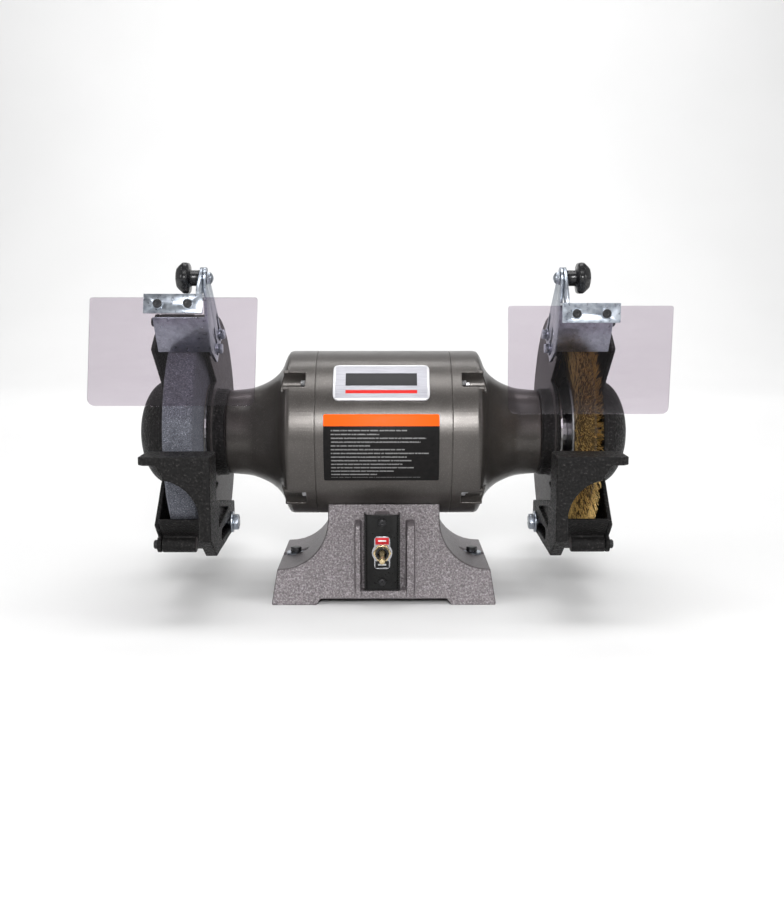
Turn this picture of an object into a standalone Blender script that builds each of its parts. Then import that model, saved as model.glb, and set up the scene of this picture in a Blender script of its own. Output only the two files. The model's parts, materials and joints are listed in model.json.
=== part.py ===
"""Bench grinder: an abrasive wheel on the left end of its shaft and a wire wheel on the right.

Metres, +Z up. +X is the user's right and the user stands on the -Y side. The origin is on the bench,
under the middle of the shaft. Places on the left or right half are given as (out, fwd, up): the
distance from the middle along X, the distance towards the user, and the height over the shaft's axis.
"""
import math

import bmesh
import bpy
from mathutils import Matrix, Vector

# Overall sizes
SHAFT_HEIGHT = 0.147
GAP = 0.0003
SIDES = {"left": -1, "right": 1}
LIFT = Vector((0, 0, SHAFT_HEIGHT))

# Motor
BODY_R = 0.075
BODY_WALL = 0.0045
SHELL_HALF = 0.0593
SKIRT_HALF = 0.0862
NECK_END = 0.1415
NECK_R = 0.0385
RIM_BORE_R = 0.0575
POCKET_R = 0.008
POCKET_DEPTH = 0.0175
THROUGH_BOLT_R = 0.0024
NUT_REACH = 0.0062
CORE_HALF = 0.032
ROTOR_R = 0.040
AIR_GAP = 0.0005
WIRE_HOLE_X = -0.012
WIRE_HOLE_R = 0.006
MOUNT_SCREW_X = (-0.036, 0.036)
MOUNT_SCREW_R = 0.003
LUG_WALL = 0.0028
LUG_REACH = 0.0018
NAMEPLATE_X = (-0.044, 0.040)
NAMEPLATE_TURN = (27.4, 55.6)
NAMEPLATE_T = 0.0033
LABEL_X = (-0.052, 0.048)
LABEL_TURN = (-27.0, 18.6)
LABEL_T = 0.0006

# Shaft and bearings
CORE_SHAFT_R = 0.012
BEARING_BORE_R = 0.0085
BEARING_R = 0.020
BEARING_WIDTH = 0.012
BEARING_OUT = 0.1203
BALL_R = 0.0021
ARBOR_R = 0.0079
ARBOR_END = 0.204

# Wheels
WHEEL_R = 0.1016
WHEEL_WIDTH = 0.0254
BRUSH_WIDTH = 0.0225
BRUSH_SPACER = 0.0077
BRUSH_HUB_R = 0.050
BRUSH_HUB_WIDTH = 0.012
FLANGE_R = 0.044
FLANGE_BOSS_R = 0.0135
FLANGE_RIM = 0.0016
SHOULDER = 0.1433

# Base casting
BASE_TOP_HALF = 0.050
BASE_FOOT_HALF = 0.0925
BASE_END_HALF = 0.0998
BASE_TOP_UP = -0.052
SCOOP_UP = -0.0735
FOOT_TOP_UP = -0.116
BASE_TOP_DEPTH = 0.046
BASE_END_DEPTH = 0.066
BASE_WALL = 0.006
SADDLE_FLOOR = 0.008
NOTCH_HALF = 0.058
NOTCH_HEIGHT = 0.005
FOOT_SLOT_OUT = 0.083
FOOT_SLOT_LENGTH = 0.024
FOOT_SLOT_R = 0.0045
FOOT_THICK = 0.011
FOOT_WASHER = 0.0020
FOOT_BOLT_R = 0.0033
FOOT_BOLT_HEAD_R = 0.0052
COVER_PLATE_HALF = 0.0555
COVER_PLATE_T = 0.0015
COVER_SCREW_OUT = 0.050
COVER_SCREW_FWD = 0.040
SMALL_SCREW_R = 0.0018
INLET_R = 0.0075
INLET_X = 0.026
INLET_UP = -0.124
CAPACITOR_R = 0.0145
CAPACITOR_LENGTH = 0.060
CAPACITOR_PLACE = (-0.030, -0.022, -0.112)
CLAMP_T = 0.0015
CLAMP_WIDTH = 0.008

# Switch
SWITCH_X = -0.0015
SWITCH_UP = -0.099
SWITCH_PLATE_W = 0.0315
SWITCH_PLATE_H = 0.068
SWITCH_PLATE_T = 0.0015
SWITCH_FRONT = 0.067
RECESS_FLOOR = 0.0545
RIB_X = ((-0.0255, -0.0203), (0.0199, 0.0273))
RIB_FRONT = 0.0650
RIB_TOP_UP = -0.0735
BUSHING_R = 0.0059
LEVER_TILT = math.radians(12)
LEVER_LENGTH = 0.0185

# Guards
GUARD_R = 0.1082
GUARD_WALL = 0.004
GUARD_RIM = 0.0038
GUARD_FACE = 0.1536
GUARD_EDGE = 0.1939
HUB_R = 0.040
HUB_LAND_R = 0.047
COVER_LAND_R = 0.054
COVER_T = 0.004
DOME_R = 0.048
DOME_RISE = 0.0252
BOSS_R = 0.007
BOSS_RING_R = 0.1134
BOSS_ANGLES = (64.5, 140.0, 238.0, 306.5)
BOSS_START = 0.164
GUARD_BORE_R = 0.0165
MOUNT_RING_R = 0.028
MOUNT_R = 0.0025
MOUNT_HEAD_R = 0.0046
EXHAUST_R = 0.019
EXHAUST_WALL = 0.0035
EXHAUST_UP = -0.048

# Tool rests
REST_REACH = 0.141
REST_BACK = 0.105
REST_TOP_UP = -0.003
REST_IN = 0.139
REST_OUT = 0.197
REST_THICK = 0.007
REST_ARM_T = 0.0098
REST_WEB_T = 0.008
REST_BOLT = (0.030, -0.079)
REST_SLOT = (0.0155, 0.087)
REST_BOLT_R = 0.004

# Spark deflectors and eye shields
DEFLECTOR_ANGLE = math.radians(51)
DEFLECTOR_LOW = (0.069, 0.0773)
DEFLECTOR_HIGH = (0.088, 0.106)
DEFLECTOR_T = 0.0024
DEFLECTOR_FACE = 0.1466
DEFLECTOR_END = 0.1924
DEFLECTOR_BOLTS = ((0.040, 0.0790), (0.025, 0.0910))
DEFLECTOR_BOLT_R = 0.0025
SLOT_BACK = 0.0045
SLOT_LENGTH = 0.030
PIVOT = (0.084, 0.1393)
PIVOT_R = 0.003
LUG_R = 0.009
BAR_BACK = 0.0212
BAR_TOP = -0.0204
BAR_HEIGHT = 0.016
BAR_T = 0.002
BAR_FLANGE = 0.0105
BAR_IN = 0.146
BAR_OUT = 0.1936
PANE_MID = 0.1697
PANE_WIDTH = 0.1357
PANE_FOOT_WIDTH = 0.133
PANE_HEIGHT = 0.089
PANE_T = 0.003
SHIELD_SCREW_PITCH = 0.0244
SHIELD_TILT = {"left": math.radians(16.5), "right": 0.0}
KNOB_R = 0.0132
KNOB_T = 0.0118
KNOB_STEM_R = 0.0065
KNOB_STEM = 0.0086

FINISHES = {
    "body_paint": ((0.105, 0.098, 0.090), 0.34, 0.55),
    "cast_paint": ((0.235, 0.215, 0.222), 0.62, 0.35),
    "black_casting": ((0.028, 0.026, 0.026), 0.72, 0.1),
    "zinc": ((0.62, 0.64, 0.68), 0.33, 0.9),
    "steel": ((0.55, 0.55, 0.55), 0.30, 1.0),
    "black_steel": ((0.030, 0.030, 0.032), 0.45, 0.6),
    "abrasive": ((0.20, 0.205, 0.235), 0.95, 0.0),
    "brass_wire": ((0.60, 0.42, 0.16), 0.45, 0.9),
    "brass": ((0.66, 0.50, 0.22), 0.30, 1.0),
    "clear_plastic": ((0.80, 0.76, 0.80), 0.08, 0.0),
    "black_plastic": ((0.020, 0.020, 0.021), 0.38, 0.0),
    "silver_plate": ((0.66, 0.66, 0.68), 0.30, 0.8),
    "label_print": ((0.05, 0.045, 0.045), 0.50, 0.0),
    "copper": ((0.60, 0.26, 0.12), 0.40, 0.9),
    "electrical_steel": ((0.24, 0.24, 0.25), 0.50, 0.9),
    "rubber": ((0.022, 0.022, 0.022), 0.80, 0.0),
}

homes = {}


# ---------------------------------------------------------------- scene and objects
def clear_scene():
    """Removes every object, so that the model starts from nothing."""
    for obj in list(bpy.data.objects):
        bpy.data.objects.remove(obj, do_unlink=True)


def finish_material(name):
    """Returns the Principled material called name, making it the first time."""
    if name in bpy.data.materials:
        return bpy.data.materials[name]
    colour, roughness, metallic = FINISHES[name]
    material = bpy.data.materials.new(name)
    material.use_nodes = True
    shader = material.node_tree.nodes["Principled BSDF"]
    shader.inputs["Base Color"].default_value = (*colour, 1.0)
    shader.inputs["Roughness"].default_value = roughness
    shader.inputs["Metallic"].default_value = metallic
    return material


def empty_at(name, home, parent=None):
    """Adds an empty at a point measured from the shaft's axis, to carry the pieces that turn or slide there."""
    empty = bpy.data.objects.new(name, None)
    bpy.context.collection.objects.link(empty)
    empty.empty_display_size = 0.02
    empty.parent = parent
    empty.location = home - homes[parent.name] if parent else home + LIFT
    homes[name] = home
    return empty


def object_from(name, bm, finish, carrier=None):
    """Makes a named object of a mesh built round the shaft's axis, and lifts it or hangs it on its carrier."""
    bmesh.ops.remove_doubles(bm, verts=bm.verts, dist=0.000001)
    bmesh.ops.recalc_face_normals(bm, faces=bm.faces)
    if carrier:
        bm.transform(Matrix.Translation(-homes[carrier.name]))
    mesh = bpy.data.meshes.new(name)
    bm.to_mesh(mesh)
    bm.free()
    mesh.shade_smooth()
    mesh.set_sharp_from_angle(angle=math.radians(32))
    obj = bpy.data.objects.new(name, mesh)
    bpy.context.collection.objects.link(obj)
    obj.parent = carrier
    obj.location = Vector() if carrier else LIFT
    if finish:
        mesh.materials.append(finish_material(finish))
    return obj


def combine(obj, tool_mesh, operation, label):
    """Adds a Boolean of a hidden tool object to obj."""
    tool = object_from(f"tool_{obj.name}_{label}", tool_mesh, None, obj.parent)
    tool.hide_render = True
    tool.display_type = "WIRE"
    modifier = obj.modifiers.new(label, "BOOLEAN")
    modifier.operation = operation
    modifier.solver = "EXACT"
    modifier.object = tool


def join(obj, tool_mesh, label):
    combine(obj, tool_mesh, "UNION", label)


def cut(obj, tool_mesh, label):
    combine(obj, tool_mesh, "DIFFERENCE", label)


# ---------------------------------------------------------------- places and outlines
def at(side, out, fwd, up):
    """Point from a side (-1 left, 1 right), a distance out, a distance forward and a height over the shaft."""
    return Vector((side * out, -fwd, up))


def on_circle(radius, degrees):
    """(fwd, up) at an angle that runs from straight forward towards straight up."""
    angle = math.radians(degrees)
    return (radius * math.cos(angle), radius * math.sin(angle))


def arc(centre, radius, start, end, steps):
    """Points of an arc from start to end degrees, both ends included."""
    points = []
    for k in range(steps + 1):
        angle = math.radians(start + (end - start) * k / steps)
        points.append((centre[0] + radius * math.cos(angle), centre[1] + radius * math.sin(angle)))
    return points


def rounded(corners, steps=4):
    """Outline with each corner (x, y, radius) rounded, or left sharp where the radius is 0."""
    outline = []
    for k, (x, y, radius) in enumerate(corners):
        here = Vector((x, y))
        if radius == 0:
            outline.append((x, y))
            continue
        back = (Vector(corners[k - 1][:2]) - here).normalized()
        ahead = (Vector(corners[(k + 1) % len(corners)][:2]) - here).normalized()
        half = back.angle(ahead) / 2
        centre = here + (back + ahead).normalized() * radius / math.sin(half)
        first = here + back * radius / math.tan(half) - centre
        last = here + ahead * radius / math.tan(half) - centre
        turn = first.angle_signed(last)
        for j in range(steps + 1):
            spoke = first.copy()
            spoke.rotate(Matrix.Rotation(-turn * j / steps, 2))
            outline.append(tuple(centre + spoke))
    return outline


def box_outline(x0, x1, y0, y1, radius=0.0, steps=3):
    return rounded([(x0, y0, radius), (x1, y0, radius), (x1, y1, radius), (x0, y1, radius)], steps)


def slot_outline(start, end, radius, steps=6):
    """Outline of a slot with round ends whose end centres are start and end."""
    angle = math.degrees(math.atan2(end[1] - start[1], end[0] - start[0]))
    return arc(start, radius, angle + 90, angle + 270, steps) + arc(end, radius, angle - 90, angle + 90, steps)


# ---------------------------------------------------------------- solids
def slab(bm, points, push):
    """Adds a prism between a flat outline of world points and the same outline moved by push."""
    low = [bm.verts.new(point) for point in points]
    high = [bm.verts.new(Vector(point) + push) for point in points]
    bm.faces.new(low)
    bm.faces.new(high)
    for k in range(len(low)):
        j = (k + 1) % len(low)
        bm.faces.new((low[k], low[j], high[j], high[k]))
    return bm


def side_slab(bm, side, outline, out0, out1):
    """Adds a plate whose outline is in (fwd, up), from out0 to out1."""
    points = [at(side, out0, fwd, up) for fwd, up in outline]
    return slab(bm, points, Vector((side * (out1 - out0), 0, 0)))


def front_slab(bm, outline, fwd0, fwd1):
    """Adds a plate whose outline is in (x, up), from fwd0 to fwd1."""
    points = [at(1, x, fwd0, up) for x, up in outline]
    return slab(bm, points, Vector((0, fwd0 - fwd1, 0)))


def flat_slab(bm, outline, up0, up1):
    """Adds a plate whose outline is in (x, fwd), from up0 to up1."""
    points = [at(1, x, fwd, up0) for x, fwd in outline]
    return slab(bm, points, Vector((0, 0, up1 - up0)))


def turned(bm, profile, centre, axis, segments):
    """Adds a closed profile turned about the axis. Its points are (distance along the axis, radius), with
    "hex" or "lobed" as a third item on a ring that isn't round."""
    turn = Vector(axis).normalized().to_track_quat("Z", "Y").to_matrix().to_4x4()
    frame = Matrix.Translation(centre) @ turn
    rings = []
    for along, radius, *shape in profile:
        if radius == 0:
            rings.append([bm.verts.new(frame @ Vector((0, 0, along)))])
            continue
        ring_points = []
        for k in range(segments):
            angle = math.tau * k / segments
            reach = radius
            if shape == ["hex"] and k % 2:
                reach = radius * math.cos(math.pi / 6)
            if shape == ["lobed"]:
                reach = radius * (1 + 0.07 * math.cos(6 * angle))
            point = Vector((reach * math.cos(angle), reach * math.sin(angle), along))
            ring_points.append(bm.verts.new(frame @ point))
        rings.append(ring_points)
    for near, far in zip(rings, rings[1:] + rings[:1]):
        if len(near) == 1 and len(far) == 1:
            continue
        for k in range(segments):
            j = (k + 1) % segments
            if len(near) == 1:
                bm.faces.new((near[0], far[k], far[j]))
            elif len(far) == 1:
                bm.faces.new((near[k], far[0], near[j]))
            else:
                bm.faces.new((near[k], far[k], far[j], near[j]))
    return bm


def rod(bm, start, axis, length, radius, segments=12):
    """Adds a plain round bar."""
    return turned(bm, [(0, 0), (0, radius), (length, radius), (length, 0)], start, axis, segments)


def ring(bm, start, axis, length, inner, outer, segments=24):
    """Adds a plain ring."""
    outline = [(0, inner), (0, outer), (length, outer), (length, inner)]
    return turned(bm, outline, start, axis, segments)


def hex_bolt(bm, seat, axis, shank, shank_r, head, head_r):
    """Adds a hexagon-headed bolt. Its shank runs from the seat along the axis, its head the other way."""
    outline = [(-head, 0), (-head, head_r * 0.86), (-head * 0.85, head_r, "hex"), (0, head_r, "hex")]
    outline += [(0, shank_r), (shank, shank_r), (shank, 0)]
    return turned(bm, outline, seat, axis, 12)


def hex_nut(bm, seat, axis, height, bore, nut_r):
    """Adds a hexagon nut that stands on its seat."""
    outline = [(0, bore), (0, nut_r, "hex"), (height * 0.85, nut_r, "hex"), (height, nut_r * 0.86), (height, bore)]
    return turned(bm, outline, seat, axis, 12)


def wrapped_plate(bm, x0, x1, angle0, angle1, inner, outer, corner):
    """Adds a plate bent round the motor: x0 to x1 wide, from angle0 to angle1 degrees above the front,
    between two radii, with rounded corners."""
    middle = (x0 + x1) / 2
    half = (x1 - x0) / 2
    turn = math.degrees(corner / outer)
    rows = []
    for k in range(4):
        angle = 90 * k / 3
        inset = corner * (1 - math.sin(math.radians(angle)))
        rows.append((angle0 + turn * (1 - math.cos(math.radians(angle))), half - inset))
    rows += [(angle0 + turn + (angle1 - angle0 - 2 * turn) * k / 8, half) for k in range(1, 8)]
    rows += [(angle0 + angle1 - angle, reach) for angle, reach in reversed(rows[:4])]
    grid = []
    for angle, reach in rows:
        line = []
        for radius, x in ((inner, -reach), (outer, -reach), (outer, reach), (inner, reach)):
            fwd, up = on_circle(radius, angle)
            line.append(bm.verts.new(at(1, middle + x, fwd, up)))
        grid.append(line)
    for low, high in zip(grid, grid[1:]):
        for k in range(4):
            j = (k + 1) % 4
            bm.faces.new((low[k], low[j], high[j], high[k]))
    bm.faces.new(grid[0])
    bm.faces.new(grid[-1])
    return bm


def new():
    return bmesh.new()


# ---------------------------------------------------------------- motor
def wall_depth(up):
    """Distance from the middle to the sloping front or back wall of the base at a height."""
    share = (-0.060 - up) / (SHAFT_HEIGHT - 0.060)
    return BASE_TOP_DEPTH + (BASE_END_DEPTH - BASE_TOP_DEPTH) * share


def pocket_places():
    """(fwd, up) of the four through bolts."""
    return [on_circle(BODY_R - POCKET_R, 45 + 90 * k) for k in range(4)]


def motor_shell():
    shell = ring(new(), at(1, -SHELL_HALF + GAP / 2, 0, 0), (1, 0, 0), 2 * SHELL_HALF - GAP, BODY_R - BODY_WALL,
                 BODY_R, 48)
    obj = object_from("motor_shell", shell, "body_paint")
    holes = rod(new(), at(1, WIRE_HOLE_X, 0, -0.090), (0, 0, 1), 0.030, WIRE_HOLE_R)
    for x in MOUNT_SCREW_X:
        rod(holes, at(1, x, 0, -0.090), (0, 0, 1), 0.030, MOUNT_SCREW_R + GAP)
    cut(obj, holes, "holes")


def channel_outline(centre, away, radius, reach):
    """Outline of a channel with a half-round floor at its centre, open in the direction away."""
    angle = math.degrees(math.atan2(away.y, away.x))
    across = Vector((-away.y, away.x)) * radius
    outline = arc(tuple(centre), radius, angle + 90, angle + 270, 6)
    return outline + [tuple(centre + away * reach - across), tuple(centre + away * reach + across)]


def end_bell(name, side):
    seat = BEARING_OUT + BEARING_WIDTH + GAP
    body = BODY_R
    outline = [(SHELL_HALF + GAP / 2, body), (SKIRT_HALF - 0.0040, body), (SKIRT_HALF - 0.0012, body - 0.0008),
               (SKIRT_HALF + 0.0003, body - 0.0028), (0.0887, 0.0678), (0.0915, 0.0610), (0.0961, 0.0544),
               (0.1041, 0.0479), (0.1138, 0.0432), (0.1234, 0.0403), (NECK_END, NECK_R),
               (NECK_END, CORE_SHAFT_R - 0.0015), (seat, CORE_SHAFT_R - 0.0015), (seat, BEARING_R + GAP),
               (BEARING_OUT - 0.0033, BEARING_R + GAP), (BEARING_OUT - 0.0033, 0.0335), (0.0955, 0.047),
               (SHELL_HALF + 0.0067, RIM_BORE_R), (SHELL_HALF + 0.0067, body - BODY_WALL),
               (SHELL_HALF + GAP / 2, body - BODY_WALL)]
    obj = object_from(name, turned(new(), outline, at(side, 0, 0, 0), (side, 0, 0), 40), "body_paint")
    floor = SKIRT_HALF - POCKET_DEPTH
    lugs = new()
    pockets = new()
    bolts = new()
    for fwd, up in pocket_places():
        away = Vector((fwd, up)).normalized()
        centre = Vector((fwd, up)) + away * 0.0028
        lug_rim = body - 0.0010 - centre.length
        outline = channel_outline(centre, away, POCKET_R + LUG_WALL, lug_rim)
        side_slab(lugs, side, outline, SHELL_HALF + 0.012, SKIRT_HALF + LUG_REACH)
        side_slab(pockets, side, channel_outline(centre, away, POCKET_R, 0.020), floor, floor + 0.040)
        rod(bolts, at(side, SHELL_HALF, fwd, up), (side, 0, 0), 0.030, THROUGH_BOLT_R + 2 * GAP, 8)
    join(obj, lugs, "lugs")
    cut(obj, pockets, "pockets")
    cut(obj, bolts, "bolt_holes")
    taps = new()
    for fwd, up in mount_places():
        rod(taps, at(side, 0.129, fwd, up), (side, 0, 0), 0.020, MOUNT_R + 2 * GAP, 8)
    cut(obj, taps, "guard_screw_holes")


def through_bolts():
    floor = SKIRT_HALF - POCKET_DEPTH + GAP
    for k, (fwd, up) in enumerate(pocket_places()):
        bolt = hex_bolt(new(), at(-1, floor, fwd, up), (1, 0, 0), 2 * floor + NUT_REACH, THROUGH_BOLT_R, 0.0035, 0.0046)
        object_from(f"through_bolt_{k + 1}", bolt, "steel")


def stator():
    core = ring(new(), at(1, -CORE_HALF, 0, 0), (1, 0, 0), 2 * CORE_HALF, ROTOR_R + AIR_GAP,
                BODY_R - BODY_WALL - GAP, 48)
    obj = object_from("stator_core", core, "electrical_steel")
    grooves = new()
    for fwd, up in pocket_places():
        away = Vector((fwd, up)).normalized()
        outer = (away.x * (BODY_R + 0.004), away.y * (BODY_R + 0.004))
        side_slab(grooves, 1, slot_outline((fwd, up), outer, 0.0034, 5), -CORE_HALF - 0.002, CORE_HALF + 0.002)
    cut(obj, grooves, "bolt_grooves")
    outline = [(CORE_HALF + GAP, 0.046), (CORE_HALF + GAP, 0.061), (0.046, 0.0625), (0.052, 0.058),
               (0.052, 0.050), (0.046, 0.046)]
    for hand, side in SIDES.items():
        coil = turned(new(), outline, at(side, 0, 0, 0), (side, 0, 0), 24)
        object_from(f"stator_winding_{hand}", coil, "copper")


def mount_places():
    """(fwd, up) of the screws that hold a guard on its end bell."""
    return [on_circle(MOUNT_RING_R, angle) for angle in (90, 210, 330)]


def nameplate():
    inner = BODY_R + GAP
    plate = wrapped_plate(new(), *NAMEPLATE_X, *NAMEPLATE_TURN, inner, inner + NAMEPLATE_T, 0.005)
    object_from("nameplate", plate, "silver_plate")
    label = wrapped_plate(new(), *LABEL_X, *LABEL_TURN, inner, inner + LABEL_T, 0.0015)
    object_from("label_plate", label, "label_print")


# ---------------------------------------------------------------- rotor
def rotor(arbor):
    tip = ARBOR_END
    half = [(0.120, CORE_SHAFT_R), (0.120, BEARING_BORE_R), (SHOULDER - GAP, BEARING_BORE_R), (SHOULDER - GAP, ARBOR_R),
            (tip - 0.0015, ARBOR_R), (tip, ARBOR_R - 0.0015), (tip, 0)]
    outline = [(-along, radius) for along, radius in reversed(half)] + half
    object_from("rotor_shaft", turned(new(), outline, at(1, 0, 0, 0), (1, 0, 0), 20), "steel", arbor)
    core = ring(new(), at(1, -CORE_HALF, 0, 0), (1, 0, 0), 2 * CORE_HALF, CORE_SHAFT_R + GAP, ROTOR_R, 32)
    object_from("rotor_core", core, "electrical_steel", arbor)
    middle = (BEARING_BORE_R + BEARING_R) / 2 + GAP
    for hand, side in SIDES.items():
        place = at(side, BEARING_OUT, 0, 0)
        race = ring(new(), place, (side, 0, 0), BEARING_WIDTH, BEARING_BORE_R + GAP, middle - BALL_R, 20)
        object_from(f"bearing_inner_{hand}", race, "steel", arbor)
        cup = ring(new(), place, (side, 0, 0), BEARING_WIDTH, middle + BALL_R, BEARING_R, 24)
        object_from(f"bearing_outer_{hand}", cup, "steel")


def wheel_start():
    """Distance out of the wheel's near side: the flange stands on the shaft's shoulder inside the guard."""
    return GUARD_FACE + GUARD_WALL + 2 * GAP + FLANGE_RIM


def wheels(arbor):
    bore = ARBOR_R + GAP
    inner = wheel_start()
    for hand, side in SIDES.items():
        rim = inner - GAP - FLANGE_RIM
        outline = [(SHOULDER, bore), (SHOULDER, FLANGE_BOSS_R), (rim, FLANGE_BOSS_R), (rim, FLANGE_R),
                   (rim + FLANGE_RIM, FLANGE_R), (rim + FLANGE_RIM, bore)]
        flange = turned(new(), outline, at(side, 0, 0, 0), (side, 0, 0), 32)
        object_from(f"inner_flange_{hand}", flange, "steel", arbor)
        far = inner + GAP + (WHEEL_WIDTH if side < 0 else BRUSH_SPACER + BRUSH_HUB_WIDTH)
        dish = far + 2 * FLANGE_RIM
        outline = [(far, bore), (far, FLANGE_R), (far + FLANGE_RIM, FLANGE_R), (dish, FLANGE_R * 0.6), (dish, bore)]
        flange = turned(new(), outline, at(side, 0, 0, 0), (side, 0, 0), 32)
        object_from(f"outer_flange_{hand}", flange, "steel", arbor)
        nut = hex_nut(new(), at(side, dish + GAP, 0, 0), (side, 0, 0), 0.0095, bore, 0.0138)
        object_from(f"arbor_nut_{hand}", nut, "steel", arbor)

    edge = 0.0012
    outer = inner + WHEEL_WIDTH
    outline = [(inner, bore), (inner, WHEEL_R - edge), (inner + edge, WHEEL_R), (outer - edge, WHEEL_R),
               (outer, WHEEL_R - edge), (outer, bore)]
    object_from("grinding_wheel", turned(new(), outline, at(-1, 0, 0, 0), (-1, 0, 0), 64), "abrasive", arbor)

    hub = inner + BRUSH_SPACER
    spacer = ring(new(), at(1, inner, 0, 0), (1, 0, 0), BRUSH_SPACER - GAP, bore, FLANGE_BOSS_R * 1.5, 24)
    object_from("wire_wheel_spacer", spacer, "steel", arbor)
    middle = hub + BRUSH_HUB_WIDTH / 2
    ring_r = BRUSH_HUB_R
    outline = [(hub, bore), (hub, ring_r - 0.002), (hub + 0.002, ring_r), (hub + BRUSH_HUB_WIDTH - 0.002, ring_r),
               (hub + BRUSH_HUB_WIDTH, ring_r - 0.002), (hub + BRUSH_HUB_WIDTH, bore)]
    object_from("wire_wheel_hub", turned(new(), outline, at(1, 0, 0, 0), (1, 0, 0), 40), "steel", arbor)
    root = BRUSH_HUB_WIDTH / 2 - 0.001
    tip = BRUSH_WIDTH / 2
    outline = [(middle - root, ring_r + GAP), (middle - tip, WHEEL_R * 0.8), (middle - tip, WHEEL_R - 0.001),
               (middle, WHEEL_R), (middle + tip, WHEEL_R - 0.001), (middle + tip, WHEEL_R * 0.8),
               (middle + root, ring_r + GAP)]
    bristles = turned(new(), outline, at(1, 0, 0, 0), (1, 0, 0), 48)
    object_from("wire_wheel_bristles", bristles, "brass_wire", arbor)


# ---------------------------------------------------------------- base
def base_outline():
    """Front outline of the base, in (x, up)."""
    radius = BASE_FOOT_HALF - BASE_TOP_HALF
    scoop = arc((BASE_FOOT_HALF, SCOOP_UP), radius, 180, 270, 10)
    half = [(BASE_TOP_HALF, BASE_TOP_UP)] + scoop
    half += [(BASE_FOOT_HALF + 0.0025, SCOOP_UP - radius), (BASE_END_HALF, -SHAFT_HEIGHT),
             (NOTCH_HALF + 0.0015, -SHAFT_HEIGHT), (NOTCH_HALF - 0.0015, NOTCH_HEIGHT - SHAFT_HEIGHT)]
    return [(-x, up) for x, up in half] + [(x, up) for x, up in reversed(half)]


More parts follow.
